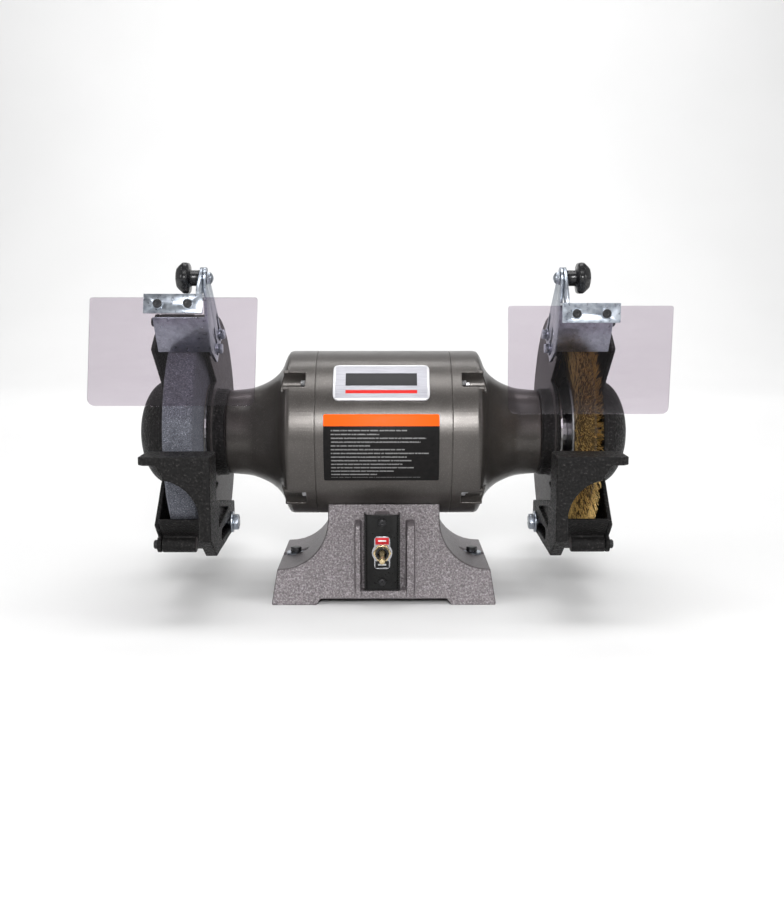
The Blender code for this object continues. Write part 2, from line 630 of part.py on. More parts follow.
def base_casting():
    bm = new()
    front = [bm.verts.new(at(1, x, wall_depth(up), up)) for x, up in base_outline()]
    back = [bm.verts.new(at(1, x, -wall_depth(up), up)) for x, up in base_outline()]
    bm.faces.new(front)
    bm.faces.new(back)
    for k in range(len(front)):
        j = (k + 1) % len(front)
        bm.faces.new((front[k], front[j], back[j], back[k]))
    obj = object_from("base_casting", bm, "cast_paint")
    floor = NOTCH_HEIGHT - SHAFT_HEIGHT
    plate_top = SWITCH_UP + SWITCH_PLATE_H / 2

    ribs = new()
    back = wall_depth(RIB_TOP_UP) - 0.004
    rib = [(back, RIB_TOP_UP), (RIB_FRONT - 0.006, RIB_TOP_UP), (RIB_FRONT - 0.002, RIB_TOP_UP - 0.002),
           (RIB_FRONT, RIB_TOP_UP - 0.007), (RIB_FRONT, floor), (back, floor)]
    for x0, x1 in RIB_X:
        side_slab(ribs, 1, rib, x0, x1)
    join(obj, ribs, "switch_ribs")
    half = SWITCH_PLATE_W / 2 + GAP
    recess = box_outline(SWITCH_X - half, SWITCH_X + half, plate_top - SWITCH_PLATE_H - GAP, plate_top + 0.004)
    cut(obj, front_slab(new(), recess, RECESS_FLOOR, 0.090), "switch_recess")
    between = box_outline(RIB_X[0][1], RIB_X[1][0], plate_top - SWITCH_PLATE_H - 0.0008, RIB_TOP_UP + 0.0005)
    cut(obj, front_slab(new(), between, RECESS_FLOOR + 0.0006, 0.090), "rib_recess")
    pads = new()
    for up in switch_screw_ups():
        pad = box_outline(SWITCH_X - 0.006, SWITCH_X + 0.006, up - 0.006, up + 0.006)
        back = min(RECESS_FLOOR, wall_depth(up + 0.006)) - 0.004
        front_slab(pads, pad, back, SWITCH_FRONT - SWITCH_PLATE_T - GAP)
    join(obj, pads, "switch_pads")

    cavity = new()
    top = -BODY_R - SADDLE_FLOOR
    inside = BASE_TOP_HALF - BASE_WALL
    low = -SHAFT_HEIGHT - 0.004
    corners = []
    for x, fwd in ((-1, -1), (1, -1), (1, 1), (-1, 1)):
        corners.append((Vector((x * inside, fwd * (wall_depth(top) - BASE_WALL), top)),
                        Vector((x * inside, fwd * (wall_depth(low) - BASE_WALL), low))))
    above = [cavity.verts.new(at(1, high.x, high.y, high.z)) for high, _ in corners]
    below = [cavity.verts.new(at(1, deep.x, deep.y, deep.z)) for _, deep in corners]
    cavity.faces.new(above)
    cavity.faces.new(below)
    for k in range(4):
        j = (k + 1) % 4
        cavity.faces.new((above[k], above[j], below[j], below[k]))
    for side in SIDES.values():
        x0 = NOTCH_HALF + 0.006
        x1 = BASE_FOOT_HALF - 0.002
        depth = wall_depth(FOOT_TOP_UP) - BASE_WALL
        pocket = box_outline(x0, x1, -depth, depth, 0.004)
        flat_slab(cavity, [(side * x, y) for x, y in pocket], low, FOOT_TOP_UP - FOOT_THICK)
    cut(obj, cavity, "cavity")
    low = plate_top - SWITCH_PLATE_H
    backing = box_outline(RIB_X[0][0] + 0.001, RIB_X[1][1] - 0.001, low - 0.003, low + 0.034)
    join(obj, front_slab(new(), backing, RECESS_FLOOR - 0.0036, RECESS_FLOOR - 0.0001), "recess_backing")

    holes = new()
    rod(holes, at(1, WIRE_HOLE_X, 0, -0.090), (0, 0, 1), 0.030, WIRE_HOLE_R)
    for x in MOUNT_SCREW_X:
        rod(holes, at(1, x, 0, -0.090), (0, 0, 1), 0.030, MOUNT_SCREW_R + 2 * GAP)
    window = box_outline(SWITCH_X - 0.009, SWITCH_X + 0.009, SWITCH_UP - 0.0165, SWITCH_UP + 0.0165)
    front_slab(holes, window, 0.030, RECESS_FLOOR + 0.010)
    for up in switch_screw_ups():
        rod(holes, at(1, SWITCH_X, 0.052, up), (0, -1, 0), 0.020, SMALL_SCREW_R + GAP, 10)
    for side in SIDES.values():
        reach = FOOT_SLOT_LENGTH / 2 - FOOT_SLOT_R
        outline = slot_outline((side * FOOT_SLOT_OUT - reach, 0), (side * FOOT_SLOT_OUT + reach, 0), FOOT_SLOT_R)
        flat_slab(holes, outline, FOOT_TOP_UP - 0.020, FOOT_TOP_UP + 0.020)
        for fwd in (-COVER_SCREW_FWD, COVER_SCREW_FWD):
            rod(holes, at(side, COVER_SCREW_OUT, fwd, floor - 0.004), (0, 0, 1), 0.014, SMALL_SCREW_R + GAP, 8)
    rod(holes, *inlet_axis(-0.020), 0.050, INLET_R, 16)
    cut(obj, holes, "holes")
    saddle = rod(new(), at(1, -0.080, 0, 0), (1, 0, 0), 0.160, BODY_R + GAP, 64)
    cut(obj, saddle, "saddle")


def inlet_axis(start):
    """Start point and direction of the cord inlet, square to the sloping back wall."""
    slope = (BASE_END_DEPTH - BASE_TOP_DEPTH) / (SHAFT_HEIGHT - 0.060)
    outward = Vector((0, 1, slope)).normalized()
    return at(1, INLET_X, -wall_depth(INLET_UP), INLET_UP) + outward * start, outward


def switch_screw_ups():
    return [SWITCH_UP + (SWITCH_PLATE_H / 2 - 0.0072), SWITCH_UP - (SWITCH_PLATE_H / 2 - 0.0072)]


def base_fittings():
    floor = NOTCH_HEIGHT - SHAFT_HEIGHT - GAP
    half = COVER_PLATE_HALF
    plate = flat_slab(new(), box_outline(-half, half, -half, half, 0.004), floor - COVER_PLATE_T, floor)
    obj = object_from("base_cover_plate", plate, "black_steel")
    holes = new()
    for side in SIDES.values():
        for fwd in (-COVER_SCREW_FWD, COVER_SCREW_FWD):
            rod(holes, at(side, COVER_SCREW_OUT, fwd, floor - 0.003), (0, 0, 1), 0.006, SMALL_SCREW_R + GAP, 10)
    cut(obj, holes, "screw_holes")

    for hand, side in SIDES.items():
        seat = at(side, FOOT_SLOT_OUT, 0, FOOT_TOP_UP + FOOT_WASHER)
        bolt = hex_bolt(new(), seat, (0, 0, -1), 0.026, FOOT_BOLT_R, 0.0046, FOOT_BOLT_HEAD_R)
        object_from(f"foot_bolt_{hand}", bolt, "black_steel")

    start, outward = inlet_axis(0)
    outline = [(0.0003, INLET_R - GAP), (0.0003, 0.0105), (0.0030, 0.0105), (0.0040, 0.0080), (0.0150, 0.0062),
               (0.0150, 0.0042), (-0.0090, 0.0042), (-0.0090, INLET_R - GAP)]
    object_from("cord_inlet_bush", turned(new(), outline, start, outward, 16), "rubber")

    centre = at(1, *CAPACITOR_PLACE)
    radius = CAPACITOR_R
    can = [(0, 0), (0, radius - 0.0015), (0.0015, radius), (CAPACITOR_LENGTH - 0.0015, radius),
           (CAPACITOR_LENGTH, radius - 0.0015), (CAPACITOR_LENGTH, 0)]
    object_from("start_capacitor", turned(new(), can, centre, (1, 0, 0), 20), "black_plastic")
    ceiling = -BODY_R - SADDLE_FLOOR - GAP
    near = (CAPACITOR_LENGTH - CLAMP_WIDTH) / 2
    inner = radius + GAP
    band = ring(new(), centre + Vector((near, 0, 0)), (1, 0, 0), CLAMP_WIDTH, inner, inner + CLAMP_T, 20)
    clamp = object_from("capacitor_clamp", band, "zinc")
    x, fwd, up = CAPACITOR_PLACE
    outer = fwd - inner - CLAMP_T
    leg = [(outer + 0.0003, up), (outer + 0.0003, ceiling), (outer + 0.026, ceiling),
           (outer + 0.026, ceiling - CLAMP_T), (outer + CLAMP_T, ceiling - CLAMP_T), (outer + CLAMP_T, up)]
    join(clamp, side_slab(new(), 1, leg, x + near + 0.0002, x + near + CLAMP_WIDTH - 0.0002), "leg")


# ---------------------------------------------------------------- switch
def switch(lever_carrier):
    back = SWITCH_FRONT - SWITCH_PLATE_T
    half = SWITCH_PLATE_W / 2
    bend = 0.0028
    section = [(-half, RECESS_FLOOR + GAP, 0), (-half, SWITCH_FRONT, bend), (half, SWITCH_FRONT, bend),
               (half, RECESS_FLOOR + GAP, 0), (half - SWITCH_PLATE_T, RECESS_FLOOR + GAP, 0),
               (half - SWITCH_PLATE_T, back, 0.0012), (-half + SWITCH_PLATE_T, back, 0.0012),
               (-half + SWITCH_PLATE_T, RECESS_FLOOR + GAP, 0)]
    low = SWITCH_UP - SWITCH_PLATE_H / 2
    channel = [(SWITCH_X + x, fwd) for x, fwd in rounded(section, 3)]
    plate = object_from("switch_plate", flat_slab(new(), channel, low, low + SWITCH_PLATE_H), "black_steel")
    holes = rod(new(), at(1, SWITCH_X, back - 0.004, SWITCH_UP), (0, -1, 0), 0.010, BUSHING_R + GAP, 20)
    for up in switch_screw_ups():
        rod(holes, at(1, SWITCH_X, back - 0.004, up), (0, -1, 0), 0.010, SMALL_SCREW_R + GAP, 10)
    cut(plate, holes, "holes")

    case = box_outline(SWITCH_X - 0.0075, SWITCH_X + 0.0075, SWITCH_UP - 0.0142, SWITCH_UP + 0.0142)
    body = object_from("switch_body", front_slab(new(), case, 0.040, back - GAP), "black_plastic")
    join(body, rod(new(), at(1, SWITCH_X, 0.060, SWITCH_UP), (0, -1, 0), 0.0132, BUSHING_R, 20), "bushing")
    cut(body, rod(new(), at(1, SWITCH_X, back - 0.0005, SWITCH_UP), (0, -1, 0), 0.020, 0.0043, 16), "bore")

    front = SWITCH_FRONT + GAP
    tabs = box_outline(SWITCH_X - 0.0070, SWITCH_X + 0.0070, SWITCH_UP - 0.0146, SWITCH_UP + 0.0146, 0.003)
    legend = object_from("switch_legend_plate", front_slab(new(), tabs, front, front + 0.0006), "silver_plate")
    join(legend, rod(new(), at(1, SWITCH_X, front, SWITCH_UP), (0, -1, 0), 0.0006, 0.0090, 24), "disc")
    cut(legend, rod(new(), at(1, SWITCH_X, front - 0.004, SWITCH_UP), (0, -1, 0), 0.010, BUSHING_R + GAP, 20),
        "hole")
    nut = hex_nut(new(), at(1, SWITCH_X, front + 0.0006 + GAP, SWITCH_UP), (0, -1, 0), 0.0024, BUSHING_R + GAP, 0.0080)
    object_from("switch_nut", nut, "brass")

    tip = LEVER_LENGTH
    outline = [(-0.0026, 0), (-0.0022, 0.0018), (-0.0008, 0.0030), (0.0010, 0.0030), (0.0030, 0.0018),
               (tip - 0.0070, 0.0023), (tip - 0.0035, 0.0030), (tip - 0.0010, 0.0024), (tip, 0)]
    aim = Vector((0, -math.cos(LEVER_TILT), -math.sin(LEVER_TILT)))
    lever = turned(new(), outline, homes[lever_carrier.name], aim, 14)
    object_from("toggle_lever", lever, "brass", lever_carrier)


# ---------------------------------------------------------------- guards
def front_opening(upper_rim, upper_hub, lower_hub, lower_rim, land):
    """Outline, in (fwd, up), of what is cut away in front of a guard. Its sides run from the hub land to
    the rim, and its inner end follows the land."""
    start = math.degrees(math.atan2(upper_hub[1], upper_hub[0]))
    end = math.degrees(math.atan2(lower_hub[1], lower_hub[0]))
    outline = arc((0, 0), land, start, end, 12)
    for rim, hub in ((lower_rim, lower_hub), (upper_rim, upper_hub)):
        outward = Vector(rim) - Vector(hub)
        outline.append(tuple(Vector(hub) + outward * 1.6))
    outline.insert(-1, (0.22, outline[-2][1]))
    outline.insert(-1, (0.22, outline[-1][1]))
    return outline


def guard(name, side):
    outline = [(NECK_END + GAP, GUARD_BORE_R), (NECK_END + GAP, HUB_R - 0.002), (NECK_END + 0.0023, HUB_R),
               (GUARD_FACE, HUB_R), (GUARD_FACE, GUARD_R - 0.001), (GUARD_FACE + 0.001, GUARD_R),
               (GUARD_EDGE, GUARD_R), (GUARD_EDGE, GUARD_BORE_R)]
    obj = object_from(name, turned(new(), outline, at(side, 0, 0, 0), (side, 0, 0), 48), "black_casting")
    bosses = new()
    for angle in BOSS_ANGLES:
        fwd, up = on_circle(BOSS_RING_R, angle)
        rod(bosses, at(side, BOSS_START, fwd, up), (side, 0, 0), GUARD_EDGE - 0.0001 - BOSS_START, BOSS_R, 12)
    join(obj, bosses, "bosses")
    stub = at(side, (GUARD_FACE + GUARD_EDGE) / 2, -0.080, EXHAUST_UP)
    join(obj, rod(new(), stub, (0, 1, 0), REST_REACH - 0.080, EXHAUST_R, 24), "exhaust_stub")
    cavity = rod(new(), at(side, GUARD_FACE + GUARD_WALL, 0, 0), (side, 0, 0), 0.060, GUARD_R - GUARD_RIM, 48)
    cut(obj, cavity, "cavity")
    bore = rod(new(), stub, (0, 1, 0), 0.080, EXHAUST_R - EXHAUST_WALL, 24)
    cut(obj, bore, "exhaust_bore")
    opening = front_opening((0.062, 0.088), (0.003, 0.047), (0.005, -0.0468), (0.085, -0.066), HUB_LAND_R)
    cut(obj, side_slab(new(), side, opening, 0.150, 0.200), "front_opening")
    pads = new()
    for fwd, up in DEFLECTOR_BOLTS:
        start = DEFLECTOR_FACE + DEFLECTOR_T + GAP
        rod(pads, at(side, start, fwd, up), (side, 0, 0), GUARD_FACE + 0.001 - start, 0.0065, 12)
    start = REST_IN + REST_ARM_T + GAP
    rod(pads, at(side, start, *REST_BOLT), (side, 0, 0), GUARD_FACE + 0.001 - start, 0.009, 16)
    join(obj, pads, "pads")
    holes = new()
    for angle in BOSS_ANGLES:
        rod(holes, at(side, GUARD_EDGE - 0.016, *on_circle(BOSS_RING_R, angle)), (side, 0, 0), 0.020, 0.0023, 8)
    for fwd, up in DEFLECTOR_BOLTS:
        rod(holes, at(side, 0.145, fwd, up), (side, 0, 0), 0.020, DEFLECTOR_BOLT_R + GAP, 10)
    rod(holes, at(side, 0.145, *REST_BOLT), (side, 0, 0), 0.020, REST_BOLT_R + GAP, 12)
    for fwd, up in mount_places():
        depth = GUARD_FACE + GUARD_WALL
        sink = [(0.138, 0), (0.138, MOUNT_R + 2 * GAP), (depth - 0.0055, MOUNT_R + 2 * GAP),
                (depth - 0.0055, MOUNT_HEAD_R + 2 * GAP), (depth + 0.003, MOUNT_HEAD_R + 2 * GAP), (depth + 0.003, 0)]
        turned(holes, sink, at(side, 0, fwd, up), (side, 0, 0), 8)
    cut(obj, holes, "holes")


def guard_cover(name, side):
    inside = GUARD_EDGE + GAP
    outside = inside + COVER_T
    dome = []
    hollow = []
    for k in range(6):
        angle = math.radians(90 * k / 5)
        dome.append((outside + DOME_RISE * math.sin(angle), DOME_R * math.cos(angle)))
        hollow.append((inside + DOME_RISE * math.sin(angle), (DOME_R - COVER_T) * math.cos(angle)))
    dome[-1] = (outside + DOME_RISE, 0)
    hollow[-1] = (inside + DOME_RISE, 0)
    outline = [(inside, GUARD_R), (outside - 0.001, GUARD_R), (outside, GUARD_R - 0.001)] + dome + hollow[::-1]
    obj = object_from(name, turned(new(), outline, at(side, 0, 0, 0), (side, 0, 0), 40), "black_casting")
    ears = new()
    holes = new()
    for angle in BOSS_ANGLES:
        fwd, up = on_circle(BOSS_RING_R, angle)
        rod(ears, at(side, inside + 0.0001, fwd, up), (side, 0, 0), COVER_T - 0.0002, BOSS_R, 12)
        rod(holes, at(side, inside - 0.002, fwd, up), (side, 0, 0), 0.010, 0.0026, 8)
    join(obj, ears, "ears")
    cut(obj, holes, "holes")
    opening = front_opening((0.073, 0.080), (0.031, 0.0442), (0.0418, -0.0342), (0.081, -0.072), COVER_LAND_R)
    cut(obj, side_slab(new(), side, opening, inside - 0.004, outside + 0.040), "front_opening")


# ---------------------------------------------------------------- tool rests
def tool_rest(name, side, carrier):
    arm_out = REST_IN + REST_ARM_T
    low = REST_TOP_UP - 0.0875
    arm = rounded([(REST_REACH, REST_TOP_UP, 0), (REST_BACK + 0.004, REST_TOP_UP, 0),
                   (REST_BACK + 0.004, -0.0445, 0.003), (0.008, -0.0630, 0.003), (0.008, -0.0887, 0.003),
                   (0.113, low, 0), (REST_REACH, -0.072, 0.004)], 3)
    obj = object_from(name, side_slab(new(), side, arm, REST_IN, arm_out), "black_casting", carrier)
    top = REST_TOP_UP
    shelf = [(REST_IN + 0.002, REST_BACK), (REST_OUT, REST_BACK), (REST_OUT, REST_REACH - 0.004),
             (REST_OUT - 0.004, REST_REACH), (REST_IN + 0.002, REST_REACH)]
    join(obj, flat_slab(new(), [(side * x, fwd) for x, fwd in shelf], top - REST_THICK, top), "shelf")
    bow = arc((REST_IN + 0.043, -0.055), 0.0335, 100, 180, 7)
    web = [(REST_IN + 0.003, top - 0.001), (REST_OUT - 0.011, top - 0.001), (REST_OUT - 0.014, top - REST_THICK)]
    web += bow + [(bow[-1][0], -0.070), (REST_IN + 0.003, -0.070)]
    web_back = REST_REACH - REST_WEB_T
    join(obj, front_slab(new(), [(side * x, up) for x, up in web], web_back, REST_REACH - 0.0001), "web")
    slot = slot_outline((REST_SLOT[0] + 0.005, REST_BOLT[1]), (REST_SLOT[1] - 0.005, REST_BOLT[1]), 0.005)
    cut(obj, side_slab(new(), side, slot, REST_IN - 0.004, arm_out + 0.004), "slot")
    pocket = rounded([(0.040, -0.0625, 0), (0.100, -0.0515, 0.002), (0.100, -0.0690, 0.002)], 2)
    cut(obj, side_slab(new(), side, pocket, REST_IN - 0.004, REST_IN + 0.0035), "pocket")


def rest_fasteners(hand, side):
    washer = ring(new(), at(side, REST_IN - GAP, *REST_BOLT), (-side, 0, 0), 0.0016, REST_BOLT_R + GAP, 0.0096, 20)
    object_from(f"tool_rest_washer_{hand}", washer, "zinc")
    seat = at(side, REST_IN - 0.0016 - 2 * GAP, *REST_BOLT)
    bolt = hex_bolt(new(), seat, (side, 0, 0), 0.0195, REST_BOLT_R, 0.0048, 0.0075)
    object_from(f"tool_rest_bolt_{hand}", bolt, "zinc")


# ---------------------------------------------------------------- spark deflectors and eye shields
def deflector(name, side, carrier):
    low = Vector(DEFLECTOR_LOW)
    high = Vector(DEFLECTOR_HIGH)
    along = (high - low).normalized()
    normal = Vector((-along.y, along.x)) * DEFLECTOR_T
    near = DEFLECTOR_FACE + DEFLECTOR_T
    lug = arc(PIVOT, LUG_R, -10, 150, 8)
    flange = [(*point, 0) for point in [low, high] + lug]
    flange = rounded(flange + [(0.019, 0.098, 0.004), (0.016, 0.086, 0.004), (0.040, 0.0665, 0.004)], 2)
    obj = object_from(name, side_slab(new(), side, flange, DEFLECTOR_FACE, near), "zinc", carrier)
    blade = [tuple(low), tuple(high), tuple(high + normal), tuple(low + normal)]
    join(obj, side_slab(new(), side, blade, near - 0.001, DEFLECTOR_END), "blade")
    holes = rod(new(), at(side, DEFLECTOR_FACE - 0.003, *PIVOT), (side, 0, 0), 0.010, PIVOT_R + GAP, 12)
    aim = Vector((math.cos(DEFLECTOR_ANGLE), math.sin(DEFLECTOR_ANGLE)))
    for place in DEFLECTOR_BOLTS:
        start = Vector(place) - aim * SLOT_BACK
        end = start + aim * (SLOT_LENGTH - 2 * DEFLECTOR_BOLT_R)
        outline = slot_outline(tuple(start), tuple(end), DEFLECTOR_BOLT_R + 0.0006, 5)
        side_slab(holes, side, outline, DEFLECTOR_FACE - 0.003, near + 0.003)
    cut(obj, holes, "holes")

    bolt = new()
    head = DEFLECTOR_FACE - GAP
    reach = 2 * DEFLECTOR_T + 2 * GAP + KNOB_STEM + 0.004
    outline = [(-0.0050, 0), (-0.0044, 0.0030), (-0.0026, 0.0054), (0, 0.0062), (0, PIVOT_R), (reach, PIVOT_R),
               (reach, 0)]
    turned(bolt, outline, at(side, head, *PIVOT), (side, 0, 0), 16)
    object_from(name.replace("spark_deflector", "pivot_bolt"), bolt, "zinc", carrier)


def shield(hand, side, carrier):
    """Arm, bar, pane and screws of one eye shield, upright before its carrier tilts them."""
    px, pz = PIVOT
    arm_in = DEFLECTOR_FACE + DEFLECTOR_T + GAP
    arm_out = arm_in + DEFLECTOR_T
    back = px + BAR_BACK
    top = pz + BAR_TOP
    bar = [(back - BAR_FLANGE, top), (back + BAR_T, top), (back + BAR_T, top - BAR_HEIGHT), (back, top - BAR_HEIGHT),
           (back, top - BAR_T), (back - BAR_FLANGE, top - BAR_T)]
    obj = object_from(f"shield_arm_{hand}", side_slab(new(), side, bar, BAR_IN, BAR_OUT), "zinc", carrier)
    link = arc(PIVOT, LUG_R, 35, 215, 8)
    link += [(back - BAR_FLANGE + 0.0006, top - BAR_T / 2), (back + BAR_T / 2, top - BAR_T / 2),
             (back + BAR_T / 2, top + 0.005)]
    join(obj, side_slab(new(), side, link, arm_in, arm_out), "link")
    holes = rod(new(), at(side, arm_in - 0.003, *PIVOT), (side, 0, 0), 0.010, PIVOT_R + GAP, 12)
    middle = (BAR_IN + BAR_OUT) / 2
    height = top - BAR_HEIGHT / 2 - 0.0005
    outs = (middle - SHIELD_SCREW_PITCH / 2, middle + SHIELD_SCREW_PITCH / 2)
    for out in outs:
        rod(holes, at(side, out, back - 0.004, height), (0, -1, 0), 0.010, 0.0022, 10)
    cut(obj, holes, "holes")

    pane_top = top - BAR_T - GAP
    foot = pane_top - PANE_HEIGHT
    wide = PANE_WIDTH / 2
    narrow = PANE_FOOT_WIDTH / 2
    outline = rounded([(PANE_MID - wide, pane_top, 0.002), (PANE_MID + wide, pane_top, 0.002),
                       (PANE_MID + narrow, foot, 0.006), (PANE_MID - narrow, foot, 0.006)], 4)
    pane_front = back - GAP
    outline = [(side * x, up) for x, up in outline]
    pane = front_slab(new(), outline, pane_front - PANE_T, pane_front)
    pane = object_from(f"shield_pane_{hand}", pane, "clear_plastic", carrier)
    bores = new()
    for out in outs:
        rod(bores, at(side, out, pane_front - 0.008, height), (0, -1, 0), 0.012, 0.0024, 10)
    cut(pane, bores, "screw_holes")
    carrier.rotation_euler.x = -SHIELD_TILT[hand]


def knob(name, side, carrier):
    start = DEFLECTOR_FACE + 2 * DEFLECTOR_T + 2 * GAP
    grip = KNOB_STEM
    end = KNOB_STEM + KNOB_T
    bore = PIVOT_R + GAP
    outline = [(0, bore), (0, KNOB_STEM_R), (grip, KNOB_STEM_R), (grip, KNOB_R - 0.0015, "lobed"),
               (grip + 0.0020, KNOB_R, "lobed"), (end - 0.0050, KNOB_R * 0.94, "lobed"),
               (end - 0.0012, KNOB_R * 0.66, "lobed"), (end, KNOB_R * 0.40), (end, 0), (grip + 0.0050, 0),
               (grip + 0.0050, bore)]
    object_from(name, turned(new(), outline, at(side, start, *PIVOT), (side, 0, 0), 24), "black_plastic", carrier)


# ---------------------------------------------------------------- assembly
def build():
    clear_scene()
    motor_shell()
    stator()
    through_bolts()
    nameplate()
    base_casting()
    base_fittings()
    switch(empty_at("toggle_axis", at(1, SWITCH_X, SWITCH_FRONT + 0.0022, SWITCH_UP)))
    arbor = empty_at("arbor_axis", at(1, 0, 0, 0))
    rotor(arbor)
    wheels(arbor)
    for hand, side in SIDES.items():
        end_bell(f"end_bell_{hand}", side)
        guard(f"wheel_guard_{hand}", side)
        guard_cover(f"guard_cover_{hand}", side)
        tool_rest(f"tool_rest_{hand}", side, empty_at(f"rest_slide_{hand}", at(side, REST_IN, *REST_BOLT)))
        rest_fasteners(hand, side)
        slide = empty_at(f"deflector_slide_{hand}", at(side, DEFLECTOR_FACE, *PIVOT))
        deflector(f"spark_deflector_{hand}", side, slide)
        shield(hand, side, empty_at(f"shield_axis_{hand}", at(side, DEFLECTOR_FACE, *PIVOT), slide))
        knob(f"clamp_knob_{hand}", side, slide)


build()
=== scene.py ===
import json
import math
import random

import bmesh
import bpy
from mathutils import Matrix, Vector

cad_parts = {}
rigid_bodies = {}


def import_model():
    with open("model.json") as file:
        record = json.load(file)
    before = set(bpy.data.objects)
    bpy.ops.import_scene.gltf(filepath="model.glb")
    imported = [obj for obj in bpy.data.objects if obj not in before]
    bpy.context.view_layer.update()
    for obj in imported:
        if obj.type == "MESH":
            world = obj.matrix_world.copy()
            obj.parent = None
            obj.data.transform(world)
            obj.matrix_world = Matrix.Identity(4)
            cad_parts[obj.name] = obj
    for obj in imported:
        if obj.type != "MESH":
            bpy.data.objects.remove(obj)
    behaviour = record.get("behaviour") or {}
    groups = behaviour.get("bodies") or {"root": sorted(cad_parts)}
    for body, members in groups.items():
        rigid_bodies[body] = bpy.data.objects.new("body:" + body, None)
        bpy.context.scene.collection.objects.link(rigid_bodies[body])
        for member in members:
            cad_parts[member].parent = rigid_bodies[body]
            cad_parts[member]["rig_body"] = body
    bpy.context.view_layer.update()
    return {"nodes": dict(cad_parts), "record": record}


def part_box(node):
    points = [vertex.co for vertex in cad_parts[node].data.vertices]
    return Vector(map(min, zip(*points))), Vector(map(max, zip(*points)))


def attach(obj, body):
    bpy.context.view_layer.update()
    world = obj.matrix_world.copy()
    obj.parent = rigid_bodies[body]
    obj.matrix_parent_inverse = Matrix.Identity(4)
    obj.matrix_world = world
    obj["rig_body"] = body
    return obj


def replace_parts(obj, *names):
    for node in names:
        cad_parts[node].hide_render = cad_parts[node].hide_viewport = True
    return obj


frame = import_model()
nodes = frame["nodes"]
random.seed(11)

# Sizes repeated from the CAD part, in metres. Places on the left or right half are (out, fwd, up).
SHAFT_HEIGHT = 0.147
GAP = 0.0003
SIDES = {"left": -1, "right": 1}
BODY_R = 0.075
BODY_WALL = 0.0045
SHELL_HALF = 0.0593
SKIRT_HALF = 0.0862
NECK_END = 0.1415
NECK_R = 0.0385
POCKET_R = 0.008
POCKET_DEPTH = 0.0175
POCKET_SHIFT = 0.0028
LUG_WALL = 0.0028
LUG_REACH = 0.0018
NAMEPLATE_TURN = (27.4, 55.6)
GUARD_R = 0.1082
GUARD_FACE = 0.1536
GUARD_EDGE = 0.1939
COVER_T = 0.004
BOSS_RING_R = 0.1134
BOSS_ANGLES = (64.5, 140.0, 238.0, 306.5)
DEFLECTOR_BOLTS = ((0.040, 0.0790), (0.025, 0.0910))
DEFLECTOR_FACE = 0.1466
DEFLECTOR_T = 0.0024
PIVOT = (0.084, 0.1393)
WHEEL_R = 0.1016
WHEEL_BORE_R = 0.0082
BLOTTER_R = 0.0448
BLOTTER_T = 0.00022
BRUSH_HUB_R = 0.050
FOOT_SLOT_OUT = 0.083
FOOT_TOP_UP = -0.116
FOOT_WASHER_R = 0.0088
FOOT_WASHER_HOLE_R = 0.0036
SWITCH_X = -0.0015
SWITCH_UP = -0.099
SWITCH_FRONT = 0.067
SWITCH_SCREW = 0.0268
RAIL_T = 0.0016
COVER_SCREW_OUT = 0.050
COVER_SCREW_FWD = 0.040
GUARD_WALL = 0.004
GUARD_RIM = 0.0038
HUB_R = 0.040
HUB_LAND_R = 0.047
COVER_LAND_R = 0.054
DOME_R = 0.048
DOME_RISE = 0.0252
BOSS_R = 0.007
BOSS_START = 0.164
GUARD_BORE_R = 0.0165
GUARD_MOUTH = ((0.062, 0.088), (0.003, 0.047), (0.005, -0.0468), (0.085, -0.066))
COVER_MOUTH = ((0.073, 0.080), (0.031, 0.0442), (0.0418, -0.0342), (0.081, -0.072))
OPENING_FRONT = 0.22
DEFLECTOR_PAD_R = 0.0065
REST_PAD_R = 0.009
HOLE_START = 0.145
HOLE_DEPTH = 0.020
EXHAUST_START = -0.080
EXHAUST_R = 0.019
EXHAUST_WALL = 0.0035
EXHAUST_UP = -0.048
REST_REACH = 0.141
REST_IN = 0.139
REST_ARM_T = 0.0098
REST_BOLT = (0.030, -0.079)
REST_BOLT_R = 0.004
DEFLECTOR_BOLT_R = 0.0025
BAR_BACK = 0.0212
BAR_TOP = -0.0204
BAR_HEIGHT = 0.016
BAR_T = 0.002
BAR_IN = 0.146
BAR_OUT = 0.1936
PANE_T = 0.003
SHIELD_SCREW_PITCH = 0.0244
SHIELD_TILT = {"left": math.radians(16.5), "right": 0.0}
KNOB_R = 0.0132
KNOB_T = 0.0118
KNOB_STEM_R = 0.0065
KNOB_STEM = 0.0086
KNOB_LOBE = 0.052


# ---------------------------------------------------------------- places and meshes
def at(side, out, fwd, up):
    """A place given from the shaft's middle. Side is -1 for the left half and 1 for the right."""
    return Vector((side * out, -fwd, SHAFT_HEIGHT + up))


def on_circle(radius, degrees):
    """The (fwd, up) place at an angle above the front."""
    angle = math.radians(degrees)
    return (radius * math.cos(angle), radius * math.sin(angle))


